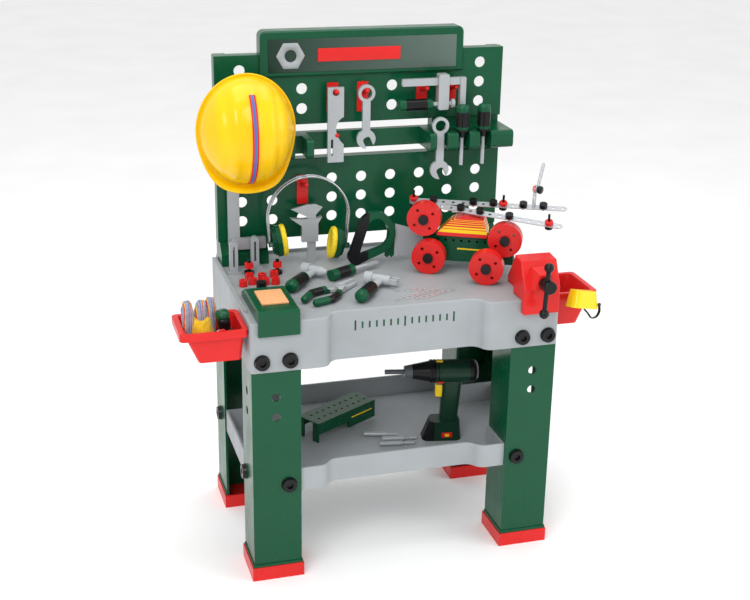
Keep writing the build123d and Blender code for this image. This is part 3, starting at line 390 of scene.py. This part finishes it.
def lathe(name, profile, place, material, body, sides=48):
    """Turned piece: profile is (radius, height) pairs about local Z."""
    points = []
    for radius, height in profile:
        for step in range(sides):
            turn = math.tau * step / sides
            points.append(place @ Vector((radius * math.cos(turn), radius * math.sin(turn), height)))
    faces = grid_faces(len(profile), sides, True)
    faces.append(tuple(range(sides))[::-1])
    faces.append(tuple(range((len(profile) - 1) * sides, len(profile) * sides)))
    return from_lists(name, points, faces, material, body)


def hexagon_nut(name, radius, height, bore, place, material, body):
    """Plastic nut: hexagon outside, round hole, softened rims."""
    outline = []
    sides = 36
    for step in range(sides):
        turn = math.tau * step / sides
        flat = radius * math.cos(math.pi / 6) / math.cos((turn % (math.pi / 3)) - math.pi / 6)
        outline.append((turn, flat))
    half = height / 2
    rings = ((0, -half, 0), (1, -half, 0.0012), (1, -half + 0.001, 0))
    rings += ((1, half - 0.001, 0), (1, half, 0.0012), (0, half, 0))
    points = []
    for outer, level, inset in rings:
        for turn, flat in outline:
            reach = flat - inset if outer else bore
            points.append(place @ Vector((reach * math.cos(turn), reach * math.sin(turn), level)))
    faces = grid_faces(len(rings), sides, True)
    last = (len(rings) - 1) * sides
    for column in range(sides):
        after = (column + 1) % sides
        faces.append((last + column, last + after, after, column))
    return from_lists(name, points, faces, material, body)


# ---- header plate --------------------------------------------------------------------
PLATE_HALF = 0.194
PLATE_LOW = 0.927
PLATE_HIGH = 0.992
PLATE_FRONT = 0.1344


def plate_material():
    """Printed plate: dark middle fading to grey-green at the right end."""
    nodes = Nodes("header_print")
    fade = nodes.along((-PLATE_HALF, 0, 0), (1, 0, 0), 2 * PLATE_HALF)
    ramp = nodes.add("ShaderNodeValToRGB")
    ramp.color_ramp.elements[0].color = linear(20, 48, 36)
    ramp.color_ramp.elements[1].color = linear(86, 104, 96)
    nodes.link(fade, ramp.inputs["Fac"])
    return finish_plastic(nodes, ramp.outputs["Color"], 0.3, 0.4, 0.06)


def make_header_plate():
    """Plate with a raised nut emblem and a plain red bar."""
    size = (2 * PLATE_HALF, 0.0018, PLATE_HIGH - PLATE_LOW)
    middle = (0, PLATE_FRONT + 0.0009, (PLATE_LOW + PLATE_HIGH) / 2)
    rounded_block("header_plate", size, 0.0008, middle, plate_material(), "bench")
    facing = Matrix.Rotation(math.pi / 2, 4, "X")
    centre = Matrix.Translation((-0.15, PLATE_FRONT - 0.0008, middle[2])) @ facing
    hexagon_nut("header_emblem", 0.029, 0.0022, 0.012, centre, grey, "bench")
    bar = (0.17, 0.0016, 0.026)
    rounded_block("header_bar", bar, 0.0007, (-0.01, PLATE_FRONT - 0.0006, middle[2]), red, "bench")


make_header_plate()


# ---- sanding pad ---------------------------------------------------------------------
def make_sanding_pad():
    """Gritty beige block lying on the corner block."""
    nodes = Nodes("sanding_grit")
    speckle = nodes.spread(nodes.noise(900, 2), 0, 1, 0.35, 0.65)
    colour = nodes.mix(speckle, linear(205, 140, 90), BEIGE)
    nodes.link(colour, nodes.shader.inputs["Base Color"])
    nodes.shader.inputs["Roughness"].default_value = 0.95
    nodes.bump(nodes.noise(1500, 2), 0.8, 0.0006)
    centre = (-0.2505, -0.135, 0.5638)
    rounded_block("sanding_pad", (0.051, 0.072, 0.004), 0.0012, centre, nodes.material, "bench")


make_sanding_pad()


# ---- things in the left box ----------------------------------------------------------
def frame_matrix(origin, up, across=(1, 0, 0)):
    """Local frame with Z along up and X near across."""
    axis_z = Vector(up).normalized()
    axis_y = axis_z.cross(Vector(across)).normalized()
    axis_x = axis_y.cross(axis_z)
    turn = Matrix((axis_x, axis_y, axis_z)).transposed().to_4x4()
    return Matrix.Translation(origin) @ turn


def make_stubby_driver():
    """Short driver standing in the left box: black grip, green cap, green band."""
    place = frame_matrix((-0.338, -0.148, 0.485), (-0.14, -0.1, 1))
    grip = [(0.004, 0), (0.0105, 0.001), (0.0125, 0.006), (0.0125, 0.026), (0.0115, 0.034), (0.0125, 0.042)]
    grip += [(0.0125, 0.052), (0.011, 0.0555), (0.004, 0.057)]
    lathe("driver_grip", grip, place, black, "box_left")
    cap = [(0.004, 0.0562), (0.0116, 0.0562), (0.0128, 0.058)]
    cap += [(0.0128, 0.064), (0.0112, 0.0675), (0.004, 0.069)]
    lathe("driver_cap", cap, place, green, "box_left")
    band = [(0.0118, 0.0275), (0.0132, 0.0285), (0.0132, 0.0315), (0.0118, 0.0325)]
    lathe("driver_band", band, place, green, "box_left")


make_stubby_driver()


# ---- helmet --------------------------------------------------------------------------
HELMET_X = -0.255
HELMET_Z = 0.835
HELMET_RIM = 0.060
HELMET_DEPTH = 0.092
HELMET_WIDE = 0.091
HELMET_TALL = 0.103
STRIPE_LOW = 0.739
STRIPE_HIGH = 0.915
STRIPE_WIDTH = 0.012
STRIPE_PROUD = 0.0042
RIBS = ((0.0, 0.003), (0.38, 0.0046), (-0.38, 0.0046), (0.68, 0.0036), (-0.68, 0.0036))


def helmet_surface(turn, rise, lift=0.0):
    """Point on the dome: turn runs round the rim, rise from 0 at the rim to 1 at the crown."""
    angle = rise * math.pi / 2
    ring = math.cos(angle) ** 0.94
    across = math.cos(turn)
    along = math.sin(turn)
    ridge = 0.0
    for offset, height in RIBS:
        ridge += height / (1 + math.exp(-(0.09 - abs(across * ring - offset)) / 0.012))
    ridge *= min(1, max(0, (rise - 0.04) / 0.18))
    reach = 1 + lift
    x = HELMET_X + (HELMET_WIDE * ring * across) * reach
    z = HELMET_Z + (HELMET_TALL * ring * along) * reach
    y = HELMET_RIM - (HELMET_DEPTH * math.sin(angle) + ridge) * reach
    return Vector((x, y, z))


def brim_point(turn, out):
    """Point on the brim: a thin lip all round and a peak at the bottom."""
    across = math.cos(turn)
    along = math.sin(turn)
    drop = max(0, -along) ** 3
    wide = HELMET_WIDE + 0.005 * out + 0.020 * out * drop
    tall = HELMET_TALL + (0.005 + 0.008 * drop) * out
    x = HELMET_X + wide * across * (1 + 0.35 * drop * out * (1 - abs(across)))
    z = HELMET_Z + tall * along
    y = HELMET_RIM - 0.0035 * out * (1 - drop) - 0.030 * drop * out
    return Vector((x, y, z))


def helmet_material():
    """Glossy yellow plastic with painted shade: vertical streaks of deeper yellow from stretched noise stand
    in for the shade between the ribs.
    """
    nodes = Nodes("helmet_yellow")
    # painted shade: deeper yellow streaks that stand in for the shade between the ribs
    painted_rib_shade = nodes.spread(nodes.noise(6, 2, (3, 1, 0.4)), 0, 1)
    colour = nodes.mix(painted_rib_shade, linear(236, 184, 6), linear(246, 200, 12))
    return finish_plastic(nodes, colour, 0.2, 0.45, 0.05)


def make_helmet():
    """Ribbed dome with a rolled brim and a thin inner wall."""
    around = 96
    rows = []
    for out in (0.0, 0.5, 1.0):
        rows.append([brim_point(math.tau * step / around, 1 - out) for step in range(around)])
    for level in range(1, 25):
        rows.append([helmet_surface(math.tau * step / around, level / 24.5) for step in range(around)])
    points = [point for row in rows for point in row]
    faces = grid_faces(len(rows), around, True)
    crown = (len(rows) - 1) * around
    faces.append(tuple(range(crown, crown + around)))
    shell = from_lists("helmet_shell", points, faces, helmet_material(), "helmet")
    wall = shell.modifiers.new("wall", "SOLIDIFY")
    wall.thickness = 0.0026
    wall.offset = -1
    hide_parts("helmet")


def make_helmet_stripe():
    """Centre stripe printed over the crown: blue between two red edges."""
    nodes = Nodes("stripe_print")
    edge = HELMET_X - STRIPE_WIDTH / 2
    side = nodes.along((edge, 0, 0), (1, 0, 0), STRIPE_WIDTH)
    colour = nodes.steps(side, [(0, RED), (0.28, BLUE), (0.72, RED)])
    material = finish_plastic(nodes, colour, 0.3, 0.3, 0.05)
    points = []
    columns = 5
    count = 60
    for step in range(count):
        z = STRIPE_HIGH + (STRIPE_LOW - STRIPE_HIGH) * step / (count - 1)
        along = (z - HELMET_Z) / HELMET_TALL
        ring = min(0.999, abs(along)) ** (1 / 0.94)
        deep = math.sqrt(max(0.0, 1 - ring * ring))
        for column in range(columns):
            x = edge + STRIPE_WIDTH * column / (columns - 1)
            points.append(Vector((x, HELMET_RIM - HELMET_DEPTH * deep - STRIPE_PROUD, z)))
    faces = grid_faces(count, columns, False)
    stripe = from_lists("helmet_stripe", points, faces, material, "helmet")
    film = stripe.modifiers.new("film", "SOLIDIFY")
    film.thickness = 0.0008


make_helmet()
make_helmet_stripe()


# ---- ear cushions --------------------------------------------------------------------
def foam_material():
    """Soft yellow foam skin with fine pores."""
    nodes = Nodes("foam_skin")
    pores = nodes.spread(nodes.noise(260, 4), 0, 1)
    colour = nodes.mix(pores, linear(222, 190, 20), linear(248, 222, 40))
    nodes.link(colour, nodes.shader.inputs["Base Color"])
    nodes.shader.inputs["Roughness"].default_value = 0.7
    nodes.shader.inputs["Subsurface Weight"].default_value = 0.1
    nodes.shader.inputs["Subsurface Scale"].default_value = 0.003
    nodes.bump(nodes.noise(340, 5), 0.6, 0.0008)
    return nodes.material


FOAM = foam_material()


def make_cushion(side, pin, inward):
    """Rounded oval foam ring on a cup's open side."""
    place = frame_matrix(pin, (inward, 0, 0.14), (0, 1, 0))
    points = []
    around = 64
    section = 20
    for step in range(around):
        turn = math.tau * step / around
        pucker = 1 + 0.03 * math.sin(turn * 9) + 0.015 * math.sin(turn * 17 + 1)
        for cut in range(section):
            roll = math.tau * cut / section
            side_reach = math.copysign(abs(math.cos(roll)) ** 0.8, math.cos(roll))
            height = math.copysign(abs(math.sin(roll)) ** 0.8, math.sin(roll))
            wide = 0.017 + 0.006 * side_reach
            tall = 0.0275 + 0.0065 * side_reach
            lift = 0.028 + 0.0058 * height * pucker
            points.append(place @ Vector((wide * math.cos(turn), tall * math.sin(turn), lift)))
    faces = []
    for step in range(around):
        here = step * section
        after = (step + 1) % around * section
        for cut in range(section):
            onward = (cut + 1) % section
            faces.append((here + cut, after + cut, after + onward, here + onward))
    foam = from_lists(f"foam_{side}", points, faces, FOAM, f"ear_cup_{side}")
    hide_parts(f"ear_cushion_{side}")


make_cushion("left", (-0.202, 0.104, 0.590), 1)
make_cushion("right", (-0.044, 0.104, 0.577), -1)


# ---- gloves --------------------------------------------------------------------------
def tube_along(name, path, material, body, sides=24):
    """Closed soft tube; path rows are (centre, half width, half thickness, across direction)."""
    points = []
    for row, (centre, wide, thick, across) in enumerate(path):
        before = Vector(path[max(0, row - 1)][0])
        after = Vector(path[min(len(path) - 1, row + 1)][0])
        ahead = (after - before).normalized()
        side = Vector(across)
        side = (side - side.dot(ahead) * ahead).normalized()
        out = ahead.cross(side)
        for step in range(sides):
            turn = math.tau * step / sides
            points.append(Vector(centre) + side * wide * math.cos(turn) + out * thick * math.sin(turn))
    faces = grid_faces(len(path), sides, True)
    faces.append(tuple(range(sides))[::-1])
    faces.append(tuple(range((len(path) - 1) * sides, len(path) * sides)))
    return from_lists(name, points, faces, material, body)


def smooth_path(rows, count=22):
    """Fill in between the given rows with a soft curve."""
    filled = []
    for index in range(count):
        place = index / (count - 1) * (len(rows) - 1)
        low = min(int(place), len(rows) - 2)
        share = place - low
        a, b, c, d = (rows[min(max(low + shift, 0), len(rows) - 1)] for shift in (-1, 0, 1, 2))
        row = []
        for part in range(4):
            if part in (0, 3):
                p, q, r, s = (Vector(value[part]) for value in (a, b, c, d))
            else:
                p, q, r, s = (value[part] for value in (a, b, c, d))
            curve = 2 * q + (r - p) * share
            curve += (2 * p - 5 * q + 4 * r - s) * share**2
            curve += (3 * q - p - 3 * r + s) * share**3
            row.append(0.5 * curve)
        filled.append(row)
    return filled


def striped(nodes, direction, period):
    """Grey cloth with red, blue and yellow pinstripes across a direction."""
    dot = nodes.add("ShaderNodeVectorMath", operation="DOT_PRODUCT")
    nodes.link(nodes.place, dot.inputs[0])
    dot.inputs[1].default_value = Vector(direction).normalized() / period
    fraction = nodes.add("ShaderNodeMath", operation="FRACT")
    nodes.link(dot.outputs["Value"], fraction.inputs[0])
    stops = [(0, STRIPE_GREY), (0.3, BLUE), (0.4, STRIPE_GREY), (0.62, RED), (0.74, linear(235, 180, 40))]
    stops.append((0.86, STRIPE_GREY))
    return nodes.steps(fraction.outputs["Value"], stops)


def yellow_cloth(nodes):
    """Slightly mottled yellow."""
    mottle = nodes.spread(nodes.noise(40, 4), 0, 1)
    return nodes.mix(mottle, linear(235, 180, 10), linear(250, 206, 30))


CUFF_CLOTH = woven("glove_stripes", lambda nodes: striped(nodes, (1, 0.25, 0), 0.0125))
PALM_CLOTH = woven("glove_yellow", yellow_cloth)

# rows of centre, half width and half thickness, from the palm to the tip
GLOVE_FINGERS = (
    [((-0.404, -0.146, 0.505), 0.011, 0.009), ((-0.408, -0.148, 0.535), 0.012, 0.009),
     ((-0.411, -0.150, 0.560), 0.011, 0.008), ((-0.411, -0.150, 0.571), 0.006, 0.005)],
    [((-0.384, -0.142, 0.505), 0.011, 0.009), ((-0.385, -0.140, 0.535), 0.012, 0.009),
     ((-0.383, -0.137, 0.558), 0.011, 0.008), ((-0.381, -0.136, 0.570), 0.006, 0.005)],
    [((-0.366, -0.136, 0.505), 0.010, 0.009), ((-0.366, -0.130, 0.535), 0.011, 0.009),
     ((-0.364, -0.126, 0.557), 0.011, 0.008), ((-0.362, -0.124, 0.569), 0.006, 0.005)],
    [((-0.400, -0.118, 0.500), 0.011, 0.009), ((-0.403, -0.116, 0.532), 0.011, 0.009),
     ((-0.405, -0.114, 0.552), 0.010, 0.008), ((-0.406, -0.113, 0.562), 0.006, 0.005)],
)
GLOVE_PALM = (
    ((-0.368, -0.140, 0.474), 0.013, 0.016),
    ((-0.374, -0.139, 0.492), 0.020, 0.019),
    ((-0.385, -0.136, 0.512), 0.026, 0.021),
    ((-0.390, -0.134, 0.530), 0.027, 0.018),
    ((-0.391, -0.133, 0.541), 0.016, 0.010),
)


def make_gloves():
    """Work gloves pushed into the left box: a yellow palm and striped fingers."""
    across = (1, 0.25, 0)
    palm = smooth_path([(centre, wide, thick, across) for centre, wide, thick in GLOVE_PALM], 26)
    body = tube_along("glove_palm", palm, PALM_CLOTH, "gloves", 32)
    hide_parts("gloves")
    for count, finger in enumerate(GLOVE_FINGERS):
        rows = smooth_path([(centre, wide, thick, across) for centre, wide, thick in finger], 18)
        piece = tube_along(f"glove_finger_{count}", rows, CUFF_CLOTH, "gloves")
        crumple = piece.modifiers.new("crumple", "DISPLACE")
        texture = bpy.data.textures.new(f"crumple_{count}", "CLOUDS")
        texture.noise_scale = 0.012
        crumple.texture = texture
        crumple.texture_coords = "GLOBAL"
        crumple.strength = 0.004


make_gloves()


# ---- nuts and caps on the vehicle ----------------------------------------------------
CAR_ORIGIN = Vector((0.165, -0.030, 0.5383))
CAR_AHEAD = Vector((0.89, -0.456, 0)).normalized()
CAR_ACROSS = Vector((0, 0, 1)).cross(CAR_AHEAD)
STRIP_JOIN = CAR_ORIGIN + CAR_AHEAD * -0.111 + CAR_ACROSS * 0.046 + Vector((0, 0, 0.130))
STRIP_WIDTH = 0.016
STRIP_LENGTH = 0.318
STRIP_GAPS = 15
STRIP_STEP = (STRIP_LENGTH - STRIP_WIDTH) / STRIP_GAPS
STRIP_TILT = math.radians(18)
NEAR_HEADING = (0.8, -0.6, -0.05)
FAR_HEADING = (0.93, -0.36, -0.02)
FAR_LIFT = 0.0034


def strip_frame(heading, lift, step, height):
    """Frame above one hole of a wing strip."""
    along = Vector(heading).normalized()
    across = Vector((0, 0, 1)).cross(along).normalized()
    facing = along.cross(across) * math.cos(STRIP_TILT) - across * math.sin(STRIP_TILT)
    place = STRIP_JOIN + facing * (lift + height) + along * step * STRIP_STEP
    return frame_matrix(place, facing, along)


def make_wing_nuts():
    """Red nuts on the upturned bolts, and the fin's cap and nut."""
    nut_height = 0.0062
    stations = ((NEAR_HEADING, 0, 14), (FAR_HEADING, FAR_LIFT, 9), (FAR_HEADING, FAR_LIFT, 0))
    for count, (heading, lift, step) in enumerate(stations):
        place = strip_frame(heading, lift, step, nut_height)
        hexagon_nut(f"wing_nut_{count}", 0.0086, 0.0088, 0.0026, place, red, "car")
    foot = strip_frame(FAR_HEADING, FAR_LIFT, 12, 0.0012).translation
    facing = Vector((0.6, -0.8, 0))
    bend = foot + Vector((0.0062, 0, 0.0365))
    cap = [(0.0015, 0), (0.0072, 0.0003), (0.008, 0.0012)]
    cap += [(0.008, 0.0062), (0.0068, 0.0074), (0.0015, 0.0076)]
    lathe("fin_cap", cap, frame_matrix(bend + facing * 0.0034, facing), black, "car", 36)
    hexagon_nut("fin_nut", 0.0078, 0.007, 0.0022, frame_matrix(bend - facing * 0.0037, facing), red, "car")


make_wing_nuts()


# ---- yellow lines --------------------------------------------------------------------
def yellow_line(name, start, end, width, normal, body):
    """Thin printed line standing just proud of a face."""
    start = Vector(start)
    along = Vector(end) - start
    facing = Vector(normal)
    turn = Matrix((along.normalized(), facing.cross(along).normalized(), facing)).transposed()
    place = Matrix.Translation(start + along / 2) @ turn.to_4x4()
    rounded_block(name, (along.length, width, 0.0006), 0.00025, place, yellow, body)


def car_point(x, y, z):
    """Point in the vehicle's own directions, in millimetres."""
    return CAR_ORIGIN + (CAR_AHEAD * x + CAR_ACROSS * y + Vector((0, 0, z))) / 1000


PLATE_AHEAD = Vector((0.86, 0.51, 0)).normalized()
PLATE_ACROSS = Vector((0, 0, 1)).cross(PLATE_AHEAD)
PLATE_CORNER = Vector((-0.132, -0.008, 0.1863))
PLATE_SIDE = PLATE_CORNER - PLATE_ACROSS * 0.0051 + Vector((0, 0, 0.026))
PLATE_LINE = (PLATE_SIDE + PLATE_AHEAD * 0.098, PLATE_SIDE + PLATE_AHEAD * 0.160, -PLATE_ACROSS)

yellow_line("chassis_line", car_point(-16, 23.9, 45), car_point(36, 23.9, 45), 0.0032, -CAR_ACROSS, "car")


# ---- drill trim ----------------------------------------------------------------------
DRILL_ORIGIN = Vector((0.140, -0.045, 0.1863))
DRILL_AHEAD = Vector((0.98, -0.2, 0)).normalized()
DRILL_ACROSS = Vector((0, 0, 1)).cross(DRILL_AHEAD)


def drill_point(x, y, z):
    """Point in the drill's own directions, in millimetres."""
    return DRILL_ORIGIN + (DRILL_AHEAD * x + DRILL_ACROSS * y + Vector((0, 0, z))) / 1000


def make_drill_trim():
    """Battery label, speed switch, direction switch and the housing's seam bands."""
    side = -DRILL_ACROSS
    up = Vector((0, 0, 1))
    turn = Matrix((DRILL_AHEAD, up.cross(DRILL_AHEAD), up)).transposed().to_4x4()
    label = Matrix.Translation(drill_point(-4, -23.6, 13)) @ turn
    rounded_block("battery_catch", (0.022, 0.003, 0.011), 0.001, label, red, "drill")
    middle = Matrix.Translation(drill_point(-4, -25.3, 13)) @ turn
    rounded_block("battery_mark", (0.009, 0.0012, 0.006), 0.0004, middle, yellow, "drill")
    top = Matrix.Translation(drill_point(-22, -3, 171.6)) @ turn
    rounded_block("speed_switch", (0.014, 0.010, 0.0045), 0.0016, top, yellow, "drill")
    lever = Matrix.Translation(drill_point(-20, -17.5, 130)) @ turn
    rounded_block("direction_switch", (0.014, 0.004, 0.0035), 0.0012, lever, red, "drill")
    ring = [(0.0235, -0.0016), (0.0247, -0.0012), (0.0251, 0), (0.0247, 0.0012), (0.0235, 0.0016)]
    for count, station in enumerate((-38, -31, -24)):
        place = frame_matrix(drill_point(station, 0, 148), DRILL_AHEAD)
        lathe(f"drill_band_{count}", ring, place, black, "drill", 64)


make_drill_trim()


# ---- goggles lens and strap ----------------------------------------------------------
GOGGLES_ORIGIN = Vector((0.358, -0.184, 0.505))
GOGGLES_FRAME = frame_matrix(GOGGLES_ORIGIN, (0.17, 0.24, 1), (0.97, 0.15, -0.2))


def goggles_point(x, y, z):
    """Point in the goggles' own frame, in millimetres."""
    return GOGGLES_FRAME @ (Vector((x, y, z)) / 1000)


def lens_material():
    """Clear plastic with light scuffs."""
    nodes = Nodes("clear_lens")
    scuff = nodes.spread(nodes.noise(60, 6), 0.08, 0.25)
    nodes.link(scuff, nodes.shader.inputs["Roughness"])
    colour = nodes.mix(nodes.noise(20, 2), linear(240, 232, 228), linear(250, 246, 244))
    nodes.link(colour, nodes.shader.inputs["Base Color"])
    nodes.shader.inputs["Transmission Weight"].default_value = 0.35
    nodes.bump(nodes.noise(300, 2), 0.05, 0.0004)
    return nodes.material


def make_goggles():
    """Lens in the frame's smaller end and a black strap hanging from its lug."""
    turn = GOGGLES_FRAME.to_3x3().to_4x4()
    place = Matrix.Translation(goggles_point(0, 0, 31.6)) @ turn
    rounded_block("goggles_lens", (0.0455, 0.0255, 0.002), 0.0009, place, lens_material(), "goggles")
    lug = Matrix.Translation(goggles_point(31, -9, 9)) @ turn
    rounded_block("goggles_lug", (0.010, 0.012, 0.007), 0.002, lug, yellow, "goggles")
    stud = [(0.001, 0), (0.0035, 0.0002), (0.004, 0.001)]
    stud += [(0.004, 0.0028), (0.0032, 0.0034), (0.001, 0.0035)]
    facing = GOGGLES_FRAME.to_3x3() @ Vector((0.3, -1, 0))
    lathe("goggles_stud", stud, frame_matrix(goggles_point(30, -14.5, 9), facing), black, "goggles", 32)
    loop = ((33, -13, 6), (32, -16, -4), (24, -19, -14), (12, -20, -17), (3, -20, -9), (-6, -18.5, -1))
    rows = [(goggles_point(*point), 0.0042, 0.0012, (0.1, -1, 0.2)) for point in loop]
    tube_along("goggles_strap", smooth_path(rows, 30), rubber, "goggles", 16)


make_goggles()


# ---- small things in the left box, on the gauge and on the apron ---------------------
def make_box_bracket():
    """Grey bracket plate with a red nut and black bolt, standing in the left box."""
    facing = Vector((0.15, -0.75, 0.65)).normalized()
    place = frame_matrix((-0.352, -0.171, 0.512), facing, (1, 0.2, 0))
    points = []
    radius = 0.011
    outline = [(-radius, -0.02), (radius, -0.02)]
    for step in range(15):
        turn = math.pi * step / 14
        outline.append((radius * math.cos(turn), radius * math.sin(turn)))
    for level in (-0.0012, 0.0012):
        points += [place @ Vector((x, y, level)) for x, y in outline]
    size = len(outline)
    faces = [tuple(range(size))[::-1], tuple(range(size, 2 * size))]
    faces += [(step, (step + 1) % size, size + (step + 1) % size, size + step) for step in range(size)]
    plate = from_lists("box_bracket", points, faces, silver, "box_left")
    edge = plate.modifiers.new("edge", "BEVEL")
    edge.width = 0.0005
    nut_place = place @ Matrix.Translation((0.001, 0.001, 0.0053))
    hexagon_nut("box_nut", 0.0085, 0.008, 0.0028, nut_place, red, "box_left")
    stem = [(0.001, 0.001), (0.0034, 0.001), (0.0034, 0.012), (0.0028, 0.0132), (0.001, 0.0134)]
    lathe("box_bolt", stem, place @ Matrix.Translation((0.001, 0.001, 0)), black, "box_left", 32)


make_box_bracket()


def make_rivet():
    """Red rivet at the waist of the hung gauge."""
    low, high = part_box("wavy_gauge")
    dome = [(0.0005, 0.0026), (0.0030, 0.0024), (0.0040, 0.0014), (0.0042, 0.0), (0.0005, -0.0002)]
    place = frame_matrix(((low.x + high.x) / 2 + 0.003, low.y - 0.0001, 0.801), (0, -1, 0))
    lathe("gauge_rivet", dome[::-1], place, red, "wavy_gauge", 36)


make_rivet()


def make_apron_scale():
    """Plain measuring marks printed in green along the apron."""
    pitch = 0.014
    for count in range(15):
        tall = 0.020 if count % 7 == 0 else 0.013
        middle = (pitch * (count - 7), -0.1702, 0.506)
        rounded_block(f"apron_mark_{count}", (0.0032, 0.0008, tall), 0.0003, middle, green, "bench")


make_apron_scale()
yellow_line("plate_line", PLATE_LINE[0], PLATE_LINE[1], 0.003, PLATE_LINE[2], "kit_plate")


# ---- floor ---------------------------------------------------------------------------
FLOOR_REACH = 8


def make_floor():
    """Pale studio floor."""
    nodes = Nodes("studio_floor")
    clouds = nodes.spread(nodes.noise(3, 3), 0, 1)
    shade = nodes.mix(clouds, linear(250, 250, 250), linear(255, 255, 255))
    nodes.link(shade, nodes.shader.inputs["Base Color"])
    nodes.shader.inputs["Roughness"].default_value = 0.8
    mesh = bpy.data.meshes.new("floor")
    corners = [(-FLOOR_REACH, -FLOOR_REACH, 0), (FLOOR_REACH, -FLOOR_REACH, 0)]
    corners += [(FLOOR_REACH, FLOOR_REACH, 0), (-FLOOR_REACH, FLOOR_REACH, 0)]
    mesh.from_pydata(corners, [], [(0, 1, 2, 3)])
    floor = bpy.data.objects.new("floor", mesh)
    mesh.materials.append(nodes.material)
    scene.collection.objects.link(floor)


make_floor()
